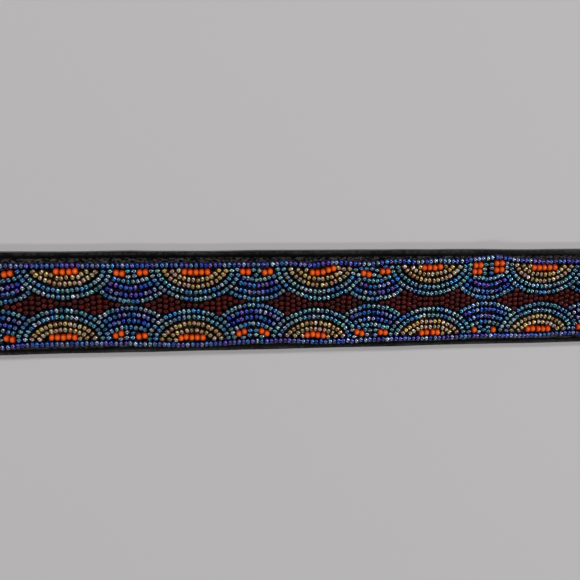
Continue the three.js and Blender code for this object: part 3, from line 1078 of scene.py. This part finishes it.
    def piece(self, name: str, beads: BeadField, seed: int) -> bpy.types.Object:
        """Makes one mesh of many beads.

        Each bead is a ring: a profile of seven points round the wall of the bead, turned about its thread. Every
        bead has its own small changes of size, height and tilt. The mesh carries each bead's colour in the
        attribute tint, which blends from the body to a painted highlight and painted reflection on the upturned
        side, with painted shade towards the hole, and gives each bead its own cell of the UV map.

        Args:
            name: the piece's name.
            beads: its beads.
            seed: what its small changes start from.

        Returns:
            The new object.
        """
        rng = np.random.default_rng(seed)
        count = len(beads.place)
        profile = self.profile(beads)
        lean = np.radians(self.leans)
        around = len(lean)
        spread = beads.each("spread")
        radius = beads.each("radius") * (1.0 + spread * rng.normal(0.0, self.radius_chance, count))
        length = beads.each("half_length") * (1.0 + spread * rng.normal(0.0, self.length_chance, count))
        tilt = rng.normal(0.0, self.tilt, count)
        axis = np.stack([np.cos(beads.turn) * np.cos(tilt), np.sin(beads.turn) * np.cos(tilt), np.sin(tilt)], axis=1)
        across = np.stack([-np.sin(beads.turn), np.cos(beads.turn), np.zeros(count)], axis=1)
        up = np.cross(axis, across)
        z = self.ground_top + radius + rng.uniform(*self.lift, count)
        centre = np.column_stack([beads.place[:, 0] + self.centre_x, beads.place[:, 1], z])
        angle = lean + math.pi / 2.0
        t = profile[:, 0][:, None, None]
        r = profile[:, 1][:, None, None]
        cos, sin = np.cos(angle)[None, :, None], np.sin(angle)[None, :, None]
        vertices = (centre[:, None, None, :] + axis[:, None, None, :] * t * length[:, None, None, None]
                    + (across[:, None, None, :] * cos + up[:, None, None, :] * sin) * r * radius[:, None, None, None])
        ring = len(profile) * around
        faces = grid_faces(len(profile), around, close_rows=True, close_columns=True)
        all_faces = (faces[None, :, :] + (np.arange(count) * ring)[:, None, None]).reshape(-1, 4)
        made = make_object(name, vertices.reshape(-1, 3) * MM, all_faces)
        self.colour(made, beads, profile, lean, rng)
        self.unwrap(made, count, len(profile), around)
        return made

    @staticmethod
    def profile(beads: BeadField) -> np.ndarray:
        """The wall of a bead as seven points, each a share of the half length and of the radius.

        Orange beads are rounder than the rest.
        """
        if (beads.kind == Kind.ORANGE.value).all():
            half = np.array([(-0.7, 0.34), (-0.95, 0.56), (-0.62, 0.86)])
        else:
            half = np.array([(-0.74, 0.36), (-0.96, 0.66), (-0.52, 0.95)])
        return np.concatenate([half, [(0.0, 1.0)], half[::-1] * (-1.0, 1.0)])

    def colour(self, made: bpy.types.Object, beads: BeadField, profile: np.ndarray, lean: np.ndarray,
               rng: np.random.Generator) -> None:
        """Fills the attribute tint with each bead's own mix of its sort's colours.

        On the lustrous beads the highlight colour is painted as a ring of light on the upturned side, round a dark
        dot that is a painted reflection, where light that crosses a glass bead shines. The ring is a bell curve of
        the distance from the top, where a lean of ring_lean degrees, or ring_reach half lengths along the thread,
        counts as 1. Plain beads get a painted highlight in the middle instead. Every bead is painted darker towards
        its hole, a painted shade.

        Args:
            made: the piece.
            beads: its beads.
            profile: the wall of a bead.
            lean: how far the points round the wall lean from the top, in radians.
            rng: the source of chance.
        """
        look = self.lustre
        count = len(beads.place)
        plain = bool((beads.kind == Kind.ORANGE.value).all())
        body = np.zeros((count, 3))
        highlight = np.zeros((count, 3))
        for kind in Kind:
            mine = beads.kind == kind.value
            if not mine.any():
                continue
            sort = SORTS[kind]
            pick = rng.integers(0, len(sort.bodies), mine.sum())
            other = rng.integers(0, len(sort.bodies), mine.sum())
            share = rng.uniform(0.0, look.blending, mine.sum())[:, None]
            bodies, highlight_colours = np.array(sort.bodies), np.array(sort.highlight_colours)
            body[mine] = bodies[pick] * (1.0 - share) + bodies[other] * share
            highlight[mine] = highlight_colours[pick] * (1.0 - share) + highlight_colours[other] * share
        light = (1.0 + beads.each("shades") * rng.uniform(-1.0, 1.0, count))[:, None]
        side = lean[None, None, :] / math.radians(look.ring_lean)
        along = profile[:, 0][None, :, None] / look.ring_reach
        outer = np.clip((profile[:, 1] - look.hole_radius) / look.hole_fade, 0.0, 1.0)[None, :, None]
        off = np.hypot(side, along)
        if plain:
            # Painted highlight: a plain bead is painted lighter in its middle.
            strength = rng.uniform(look.plain_weakest, 1.0, count)[:, None, None]
            blend = np.exp(-((off / look.plain_width) ** 2)) * strength
            dot = np.ones_like(off)
        else:
            # Painted highlight: a lustrous bead gets a ring of its highlight colour round its top.
            turn = rng.uniform(0.0, math.pi, count)[:, None, None]
            lobes = 1.0 - look.gap + look.gap * np.cos(2.0 * (np.arctan2(side, along) - turn))
            strength = rng.uniform(look.weakest, 1.0, count)[:, None, None]
            blend = np.exp(-(((off - 1.0) / look.ring_width) ** 2)) * lobes * strength
            # Painted reflection: a dark dot in the middle of the ring.
            dot = 1.0 - look.dot_depth * np.exp(-((off / look.dot_width) ** 2))
        # Painted shade: darker towards the hole, times the painted dark dot.
        shade = (look.hole_shade + (1.0 - look.hole_shade) * outer) * dot
        blend = blend[..., None]
        colours = (body * light)[:, None, None, :] * (1.0 - blend) + (highlight * light)[:, None, None, :] * blend
        colours = np.clip(colours * shade[..., None], 0.0, 1.0)
        values = np.concatenate([colours, np.ones((*colours.shape[:3], 1))], axis=-1)
        layer = made.data.color_attributes.new("tint", "FLOAT_COLOR", "POINT")
        layer.data.foreach_set("color", values.astype(np.float32).ravel())

    @staticmethod
    def unwrap(made: bpy.types.Object, count: int, rows: int, around: int) -> None:
        """Gives every bead a square cell of the map OFBake, with the ring's two parameters along its sides."""
        margin = 0.08
        cells = math.ceil(math.sqrt(count))
        i, j = np.divmod(np.arange(rows * around), around)
        corner = np.stack([np.stack([i + di, j + dj], axis=1) for di, dj in ((0, 0), (1, 0), (1, 1), (0, 1))], axis=1)
        unit = corner / np.array([rows, around]) * (1.0 - 2.0 * margin) + margin
        home = np.stack(np.divmod(np.arange(count), cells), axis=1)[:, None, None, :]
        uv = (home + unit[None, :, :, :]) / cells
        layer = made.data.uv_layers.new(name="OFBake")
        layer.data.foreach_set("uv", uv.astype(np.float32).ravel())

    def build(self) -> None:
        """Makes and dresses every piece of the beadwork."""
        beads = self.laid_out()
        log.info("%d beads", len(beads.place))
        finishes = {
            "border_beads": GlassFinish("border_glass", metallic=0.72, roughness=0.15, coat=0.5, shine=0.2),
            "arch_beads": GlassFinish("arch_glass", metallic=0.72, roughness=0.15, coat=0.5, shine=0.2),
            "fan_beads": GlassFinish("fan_glass", metallic=0.6, roughness=0.14, coat=0.6, shine=0.2),
            "garnet_beads": GlassFinish("garnet_glass", roughness=0.25, coat=0.03, shine=0.14),
            "orange_beads": GlassFinish("orange_glass", roughness=0.3, coat=0.04, mottle=0.12, shine=0.25),
        }
        materials = {slot: finish.material() for slot, finish in finishes.items()}
        numbers = [f"{n:02d}" for n in range(1, 17)]
        border, arch = {Kind.BORDER}, {Kind.TEAL, Kind.NAVY}
        plan = [
            ("upper_border_beads", border, 1, "border_beads", ["upper_border_row"]),
            ("lower_border_beads", border, -1, "border_beads", ["lower_border_row"]),
            ("buckle_end_beads", border, -2, "border_beads", ["buckle_end_row"]),
            ("tip_end_beads", border, 2, "border_beads", ["tip_end_row"]),
            ("upper_arch_beads", arch, 1, "arch_beads", ["upper_arch_band"]),
            ("lower_arch_beads", arch, -1, "arch_beads", ["lower_arch_band"]),
            ("upper_fan_beads", {Kind.GOLD}, 1, "fan_beads", ["upper_fan_" + n for n in numbers]),
            ("lower_fan_beads", {Kind.GOLD}, -1, "fan_beads", ["lower_fan_" + n for n in numbers]),
            ("lozenge_beads", {Kind.GARNET}, 0, "garnet_beads", ["garnet_lozenge_" + n for n in numbers]),
            ("upper_orange_beads", {Kind.ORANGE}, 1, "orange_beads", []),
            ("lower_orange_beads", {Kind.ORANGE}, -1, "orange_beads", []),
        ]
        for number, (name, kinds, side, slot, nodes) in enumerate(plan):
            mask = np.isin(beads.kind, [kind.value for kind in kinds]) & (beads.side == side)
            dress(self.piece(name, beads.chosen(mask), SEED + number), materials[slot], slot, *nodes)


# The strap, its backing cloth and its buckle


@dataclass
class Strap:
    """The leather strap, made from the CAD strap with rounded edges and the slight wave of a hand-cut edge.

    Attributes:
        edge_radius: rounding of its long edges and its tip.
        fine_radius: rounding of the slot, the prong holes and the fold, as a share of that.
        wave: how far the cut edges wander.
        wave_length: from one turn of the wander to the next.
        cut_every: spacing of the cuts across the strap that let it wave.
        stitch_radius: of the sewing thread.
        stitch_length: of one stitch.
        stitch_pitch: from stitch to stitch.
        stitch_inset: from the end of the folded run to the seam.
        stitch_half_width: of the seam.
        stitch_rise: how high a stitch arches above the leather.
        stitch_sink: how deep its ends lie in it.
        stitch_rows: points along a stitch.
        stitch_sides: points round it.
        thickness: of the leather.
        half_width: of the strap.
        fold_clear: from the fold's end to the first cut.
        tip_clear: from the last cut to the tip.
        fold_reach: the length at the fold whose edges are finely rounded.
        tip_reach: the length at the tip whose edges all belong to the outline.
        flank: distance from the midline from where an edge belongs to the outline.
        fold_run: length of the folded run.
        sharp: the least angle between two faces, in degrees, whose edge is rounded.
    """

    edge_radius: float = 1.2
    fine_radius: float = 0.3
    wave: float = 0.22
    wave_length: float = 26.0
    cut_every: float = 6.0
    stitch_radius: float = 0.42
    stitch_length: float = 3.2
    stitch_pitch: float = 4.6
    stitch_inset: float = 4.0
    stitch_half_width: float = 14.0
    stitch_rise: float = 0.28
    stitch_sink: float = 0.08
    stitch_rows: int = 13
    stitch_sides: int = 10
    thickness: float = 3.0
    half_width: float = 19.0
    fold_clear: float = 40.0
    tip_clear: float = 24.0
    fold_reach: float = 32.0
    tip_reach: float = 22.5
    flank: float = 18.0
    fold_run: float = 26.0
    sharp: float = 40.0

    def waved(self, x: np.ndarray, y: np.ndarray) -> np.ndarray:
        """A place across the belt, moved out or in by seeded noise, in proportion to its distance from the middle."""
        upper = ripple(x, self.wave_length, SEED + 60) + 0.5 * ripple(x, self.wave_length / 3, SEED + 61)
        lower = ripple(x, self.wave_length, SEED + 62) + 0.5 * ripple(x, self.wave_length / 3, SEED + 63)
        share = y / self.half_width
        return y + self.wave * 0.6 * np.where(share > 0, upper * share, lower * share)

    def build(self) -> None:
        """Makes and dresses the strap and the seam of its fold."""
        made = copied_node("strap", "strap_leather")
        low, high = node_box("strap")
        with edited(made.data) as work:
            for x in np.arange(low[0] + self.fold_clear, high[0] - self.tip_clear, self.cut_every):
                bmesh.ops.bisect_plane(work, geom=[*work.verts, *work.edges, *work.faces], dist=1e-7,
                                       plane_co=(x * MM, 0.0, 0.0), plane_no=(1.0, 0.0, 0.0))
        points = read(made.data.vertices, "co", 3) / MM
        points[:, 1] = self.waved(points[:, 0], points[:, 1])
        made.data.vertices.foreach_set("co", (points * MM).astype(np.float32).ravel())
        self.weigh_edges(made.data, points, low, high)
        round_edges(made, self.edge_radius, 4, "WEIGHT")
        dress(made, LeatherFinish().material(), "black_leather", "strap")
        self.seam(made, low[0])

    def weigh_edges(self, mesh: bpy.types.Mesh, points: np.ndarray, low: np.ndarray, high: np.ndarray) -> None:
        """Gives each sharp edge the share of the rounding that it gets.

        An edge is sharp where the normals of its two faces are far enough apart. The outline gets the whole
        rounding, and what is cut into the middle of the strap, or belongs to the fold, gets the fine one.

        Args:
            mesh: the strap's mesh.
            points: its points in millimetres.
            low: the strap's lowest corner.
            high: its highest corner.
        """
        totals = read(mesh.polygons, "loop_total", kind=np.int32)
        normals = read(mesh.polygons, "normal", 3)
        edge_of_loop = read(mesh.loops, "edge_index", kind=np.int32)
        ends = read(mesh.edges, "vertices", 2, np.int32)
        face_of_loop = np.repeat(np.arange(len(totals)), totals)
        pairs = face_of_loop[np.argsort(edge_of_loop, kind="stable")].reshape(-1, 2)
        cosine = (normals[pairs[:, 0]] * normals[pairs[:, 1]]).sum(axis=1)
        sharp = cosine < math.cos(math.radians(self.sharp))
        middle = points[ends].mean(axis=1)
        outline = (np.abs(middle[:, 1]) > self.flank) | (middle[:, 0] > high[0] - self.tip_reach)
        plain = outline & (middle[:, 0] > low[0] + self.fold_reach)
        weight = np.where(sharp, np.where(plain, 1.0, self.fine_radius), 0.0)
        layer = mesh.attributes.new("bevel_weight_edge", "FLOAT", "EDGE")
        layer.data.foreach_set("value", weight.astype(np.float32))

    def seam(self, strap: bpy.types.Object, fold_end: float) -> None:
        """Sews the fold with a row of stitches across the belt.

        A stitch is a tube along a shallow arch: its middle line is a sine arch above the leather, and its
        radius shrinks to the ends by the square root of the same sine.

        Args:
            strap: the strap that the stitches lie on.
            fold_end: where the strap begins at the buckle.
        """
        tree = BVHTree.FromObject(strap, bpy.context.evaluated_depsgraph_get())
        overhead = 0.05
        x = fold_end + self.fold_run - self.stitch_inset
        count = int(2 * self.stitch_half_width / self.stitch_pitch)
        middles = (np.arange(count) - (count - 1) / 2) * self.stitch_pitch
        along = np.linspace(0.0, math.pi, self.stitch_rows)
        angle = np.arange(self.stitch_sides) * 2.0 * math.pi / self.stitch_sides
        radius = self.stitch_radius * np.sqrt(np.clip(np.sin(along), 0.0, 1.0))
        rows, faces = [], []
        for number, y in enumerate(middles):
            hit = tree.ray_cast(Vector((x * MM, y * MM, overhead)), Vector((0.0, 0.0, -1.0)))
            top = hit[0].z / MM if hit[0] else self.thickness
            run = y + (along / math.pi - 0.5) * self.stitch_length
            rise = top + self.stitch_rise * np.sin(along) - self.stitch_sink
            tube = np.stack([
                x + radius[:, None] * np.cos(angle)[None, :],
                np.broadcast_to(run[:, None], (len(run), len(angle))),
                rise[:, None] + radius[:, None] * np.sin(angle)[None, :],
            ], axis=-1)
            rows.append(tube.reshape(-1, 3))
            faces.append(grid_faces(len(along), len(angle), close_columns=True) + number * len(along) * len(angle))
        made = make_object("fold_stitches", np.concatenate(rows) * MM, np.concatenate(faces))
        merge_and_turn_out(made)
        dress(made, ThreadFinish().material(), "black_leather")


@dataclass
class Backing:
    """The cloth that the beads are sewn to, with an uneven, fraying edge.

    Attributes:
        strap_top: the height of the leather that it lies on.
        slope: width of the edge that slopes down to the leather.
        wander: how far the cut edge wanders.
        coarse_share: weight of the edge's long wander.
        fine_share: weight of its short one.
        cut_back: how far the cut lies inside the CAD edge, as a share of the wander.
        step: spacing of the cross-sections.
        fibres: loose fibres along each edge.
        fibre_length: of the longest fibre.
        fibre_shortest: length of the shortest one, as a share of that.
        fibre_radius: of a fibre at its root.
        fibre_thinning: share of it that is lost at the tip.
        fibre_root: how far in from the cut edge the fibres may start.
        fibre_spread: spread of their headings, in radians.
        fibre_outward: share of its length that a straight fibre reaches outwards.
        fibre_depth: from the cloth's top down to the fibres' roots.
        fibre_arch: least and most height of a fibre's arch.
        droop: how far a fibre's end hangs below its root.
        sunk: how deep the cloth's underside lies in the leather.
        coarse_wave: wavelength of the cut edge's long wander.
        fine_wave: wavelength of its short one.
        lump: height of the lumps along the edge.
        lump_wave: wavelength of the lumps.
    """

    strap_top: float = 3.0
    slope: float = 1.3
    wander: float = 0.28
    coarse_share: float = 0.6
    fine_share: float = 0.55
    cut_back: float = 0.5
    step: float = 0.6
    fibres: int = 900
    fibre_length: float = 1.5
    fibre_shortest: float = 0.35
    fibre_radius: float = 0.05
    fibre_thinning: float = 0.75
    fibre_root: float = 1.6
    fibre_spread: float = 0.9
    fibre_outward: float = 0.7
    fibre_depth: float = 0.25
    fibre_arch: tuple[float, float] = (0.1, 0.5)
    droop: float = 0.3
    sunk: float = 0.04
    coarse_wave: float = 9.0
    fine_wave: float = 1.3
    lump: float = 0.06
    lump_wave: float = 2.1

    def build(self) -> None:
        """Makes and dresses the cloth and its fibres."""
        low, high = node_box("bead_ground")
        x = np.arange(low[0], high[0] + self.step / 2, self.step)
        x[-1] = high[0]
        made = make_object("backing_cloth", self.surface(x, low, high) * MM, self.surface_faces(len(x)))
        merge_and_turn_out(made)
        material = ClothFinish().material()
        dress(made, material, "ground_fabric", "bead_ground")
        fuzz = make_object("backing_fibres", *self.fuzz(low, high))
        merge_and_turn_out(fuzz)
        dress(fuzz, material, "ground_fabric")

    def half_width(self, x: np.ndarray, side: int, half: float) -> np.ndarray:
        """The cloth's reach to one side: the cut width plus coarse and fine seeded noise."""
        coarse = ripple(x, self.coarse_wave, SEED + 70 + side)
        fine = ripple(x, self.fine_wave, SEED + 80 + side)
        return half + self.wander * (self.coarse_share * coarse + self.fine_share * fine - self.cut_back)

    def section(self) -> np.ndarray:
        """One cross-section: share of the half width, height above the leather as a share, slope's share."""
        return np.array([
            (-1.0, 0.0, 0.0), (-1.0, 0.3, 0.0), (-1.0, 0.62, 0.35), (-1.0, 0.9, 0.8), (-1.0, 1.0, 1.4),
            (-0.5, 1.0, 0.0), (0.0, 1.0, 0.0), (0.5, 1.0, 0.0),
            (1.0, 1.0, 1.4), (1.0, 0.9, 0.8), (1.0, 0.62, 0.35), (1.0, 0.3, 0.0), (1.0, 0.0, 0.0), (0.0, 0.0, 0.0),
        ])

    def surface(self, x: np.ndarray, low: np.ndarray, high: np.ndarray) -> np.ndarray:
        """The cloth's points: its cross-section carried along the belt, its edges moved by the wandering cut.

        Args:
            x: places of the cross-sections.
            low: the lowest corner of the CAD ground.
            high: its highest corner.

        Returns:
            Points in millimetres, with one more point in the middle of each end of the cloth.
        """
        share, rise, inset = self.section().T
        half = (high[1] - low[1]) / 2
        upper, lower = (self.half_width(x, side, half)[:, None] for side in (1, -1))
        reach = np.where(share[None, :] > 0, upper, lower)
        y = share[None, :] * reach - np.sign(share)[None, :] * inset[None, :] * self.slope
        z = self.strap_top - self.sunk + rise[None, :] * (high[2] - self.strap_top + self.sunk)
        z = z + np.zeros_like(y)
        on_edge = (rise[None, :] > 0.8) * (inset[None, :] > 0)
        z += self.lump * ripple(x, self.lump_wave, SEED + 90)[:, None] * on_edge
        grid = np.stack([np.broadcast_to(x[:, None], y.shape), y, z], axis=-1)
        middle = (self.strap_top + high[2]) / 2
        ends = np.array([[x[0], 0.0, middle], [x[-1], 0.0, middle]])
        return np.concatenate([grid.reshape(-1, 3), ends])

    def surface_faces(self, rows: int) -> np.ndarray:
        """Faces of the carried section, with a fan of narrow faces at each end."""
        columns = len(self.section())
        sides = grid_faces(rows, columns, close_columns=True)
        j = np.arange(0, columns, 2)
        near = np.stack([j, (j + 1) % columns, (j + 2) % columns, np.full(len(j), rows * columns)], axis=1)
        far = near + (rows - 1) * columns
        far[:, 3] = rows * columns + 1
        return np.concatenate([sides, near, far])

    def fuzz(self, low: np.ndarray, high: np.ndarray) -> tuple[np.ndarray, np.ndarray]:
        """Loose fibres: three-sided tubes along parabolas that leave the edge and droop, thin at their ends.

        Args:
            low: the lowest corner of the CAD ground.
            high: its highest corner.

        Returns:
            Points in metres and faces.
        """
        rng = np.random.default_rng(SEED + 100)
        count = 2 * self.fibres
        side = np.repeat([1.0, -1.0], self.fibres)
        root_x = rng.uniform(low[0] + 1.0, high[0] - 1.0, count)
        half = (high[1] - low[1]) / 2
        root_y = side * (half - rng.uniform(0.1, self.fibre_root, count))
        length = self.fibre_length * rng.uniform(self.fibre_shortest, 1.0, count)
        heading = rng.normal(0.0, self.fibre_spread, count)
        t = np.linspace(0.0, 1.0, 5)
        run = t[None, :] * length[:, None]
        x = root_x[:, None] + run * np.sin(heading)[:, None]
        y = root_y[:, None] + side[:, None] * run * np.abs(np.cos(heading))[:, None] * self.fibre_outward
        arch = rng.uniform(*self.fibre_arch, count)[:, None]
        rise = 4.0 * arch * t[None, :] * (1.0 - t[None, :])
        z = high[2] - self.fibre_depth + rise - self.droop * t[None, :] ** 2
        radius = self.fibre_radius * (1.0 - self.fibre_thinning * t)
        radius[[0, -1]] = 0.0
        angle = np.arange(3) * 2.0 * math.pi / 3.0
        ring = np.stack([
            x[..., None] + radius[None, :, None] * np.cos(angle) * np.cos(heading)[:, None, None],
            y[..., None] + radius[None, :, None] * np.cos(angle) * np.sin(heading)[:, None, None],
            z[..., None] + radius[None, :, None] * np.sin(angle),
        ], axis=-1)
        faces = grid_faces(len(t), 3, close_columns=True)
        faces = (faces[None] + (np.arange(count) * len(t) * 3)[:, None, None]).reshape(-1, 4)
        return ring.reshape(-1, 3) * MM, faces


@dataclass
class Buckle:
    """The plain frame buckle and its prong, made from the CAD buckle with soft edges.

    Attributes:
        edge_radius: rounding of its edges.
    """

    edge_radius: float = 0.3

    def build(self) -> None:
        """Makes and dresses the buckle."""
        made = copied_node("buckle", "buckle_frame", flat_angle=0.5)
        round_edges(made, self.edge_radius, 3, "ANGLE")
        dress(made, MetalFinish().material(), "buckle_metal", "buckle")


# The studio


@dataclass(frozen=True)
class Panel:
    """A soft rectangular light that faces the middle of the beadwork.

    Attributes:
        name: the light's name.
        place: where it is, in metres from the middle of the beadwork.
        size: its width and height in metres.
        power: in watts.
    """

    name: str
    place: tuple[float, float, float]
    size: tuple[float, float]
    power: float


@dataclass
class Studio:
    """The floor, the lights and the camera.

    Attributes:
        pattern_x: the middle of the beadwork along the belt, which the camera's target is given from.
        floor_half: half the floor's side, in metres.
        panels: the lights.
        air: colour of the light from all round.
        air_strength: strength of that light.
        target: the point that the camera looks at.
        distance: from the camera to it.
        pitch: the camera's lean towards the upper edge of the belt, in degrees.
        yaw: its lean along the belt.
        roll: its turn about its own line of sight.
        lens: the focal length.
        film: width of the camera's film.
    """

    pattern_x: float
    floor_half: float = 8.0
    panels: tuple[Panel, ...] = (
        Panel("far_panel", (0.1, 1.7, 1.9), (1.6, 0.5), 27.5),
        Panel("near_panel", (-0.1, -1.7, 1.9), (1.2, 0.4), 14.0),
        Panel("left_panel", (-2.2, 0.2, 1.4), (0.4, 1.0), 12.0),
        Panel("right_panel", (2.2, 0.2, 1.4), (0.4, 1.0), 31.0),
    )
    air: Colour = (0.93, 0.95, 1.0)
    air_strength: float = 0.06
    target: tuple[float, float, float] = (14.0, 4.3815, 4.0)
    distance: float = 218.6555
    pitch: float = -12.0
    yaw: float = -6.3154
    roll: float = -0.7104
    lens: float = 36.0
    film: float = 36.0

    def build(self) -> None:
        """Makes the floor, the lights and the camera."""
        half = self.floor_half
        outline = np.array([(-half, -half, 0.0), (half, -half, 0.0), (half, half, 0.0), (-half, half, 0.0)])
        floor = make_object("studio_floor", outline, np.array([[0, 1, 2, 3]]), smooth=False)
        floor.data.materials.append(FloorFinish().material())
        for panel in self.panels:
            self.light(panel)
        bpy.context.scene.view_settings.view_transform = "Standard"
        world = bpy.data.worlds.new("studio_air")
        world.use_nodes = True
        air = world.node_tree.nodes["Background"]
        air.inputs["Color"].default_value = full(self.air)
        air.inputs["Strength"].default_value = self.air_strength
        bpy.context.scene.world = world
        self.camera()

    def light(self, panel: Panel) -> None:
        """Adds a light and turns it to the middle of the beadwork."""
        data = bpy.data.lights.new(panel.name, "AREA")
        data.shape = "RECTANGLE"
        data.size, data.size_y = panel.size
        data.energy = panel.power
        lamp = bpy.data.objects.new(panel.name, data)
        middle = Vector((self.pattern_x * MM, 0.0, 0.0))
        lamp.location = middle + Vector(panel.place)
        lamp.rotation_euler = (middle - lamp.location).to_track_quat("-Z", "Y").to_euler()
        bpy.context.scene.collection.objects.link(lamp)

    def camera(self) -> None:
        """Adds the camera: it stands off from its target along its own line of sight."""
        turn = (Matrix.Rotation(math.radians(self.pitch), 3, "X")
                @ Matrix.Rotation(math.radians(self.yaw), 3, "Y")
                @ Matrix.Rotation(math.radians(self.roll), 3, "Z"))
        data = bpy.data.cameras.new("camera")
        data.sensor_width = self.film
        data.sensor_fit = "HORIZONTAL"
        data.lens = self.lens
        data.clip_start = 0.01
        camera = bpy.data.objects.new("camera", data)
        target = Vector(self.target) + Vector((self.pattern_x, 0.0, 0.0))
        camera.location = (target + turn @ Vector((0.0, 0.0, self.distance))) * MM
        camera.rotation_euler = turn.to_euler()
        bpy.context.scene.collection.objects.link(camera)
        bpy.context.scene.camera = camera


def main() -> None:
    """Builds the belt's pieces in order."""
    logging.basicConfig(level=logging.INFO, format="%(name)s %(message)s")
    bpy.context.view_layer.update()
    low, high = node_box("bead_ground")
    centre_x = float(low[0] + high[0]) / 2
    Studio(centre_x).build()
    Strap().build()
    Backing().build()
    Buckle().build()
    Beadwork(centre_x, float(high[0] - low[0]) / 2 - END_INSET, float(high[2])).build()


if __name__ == "__main__":
    main()
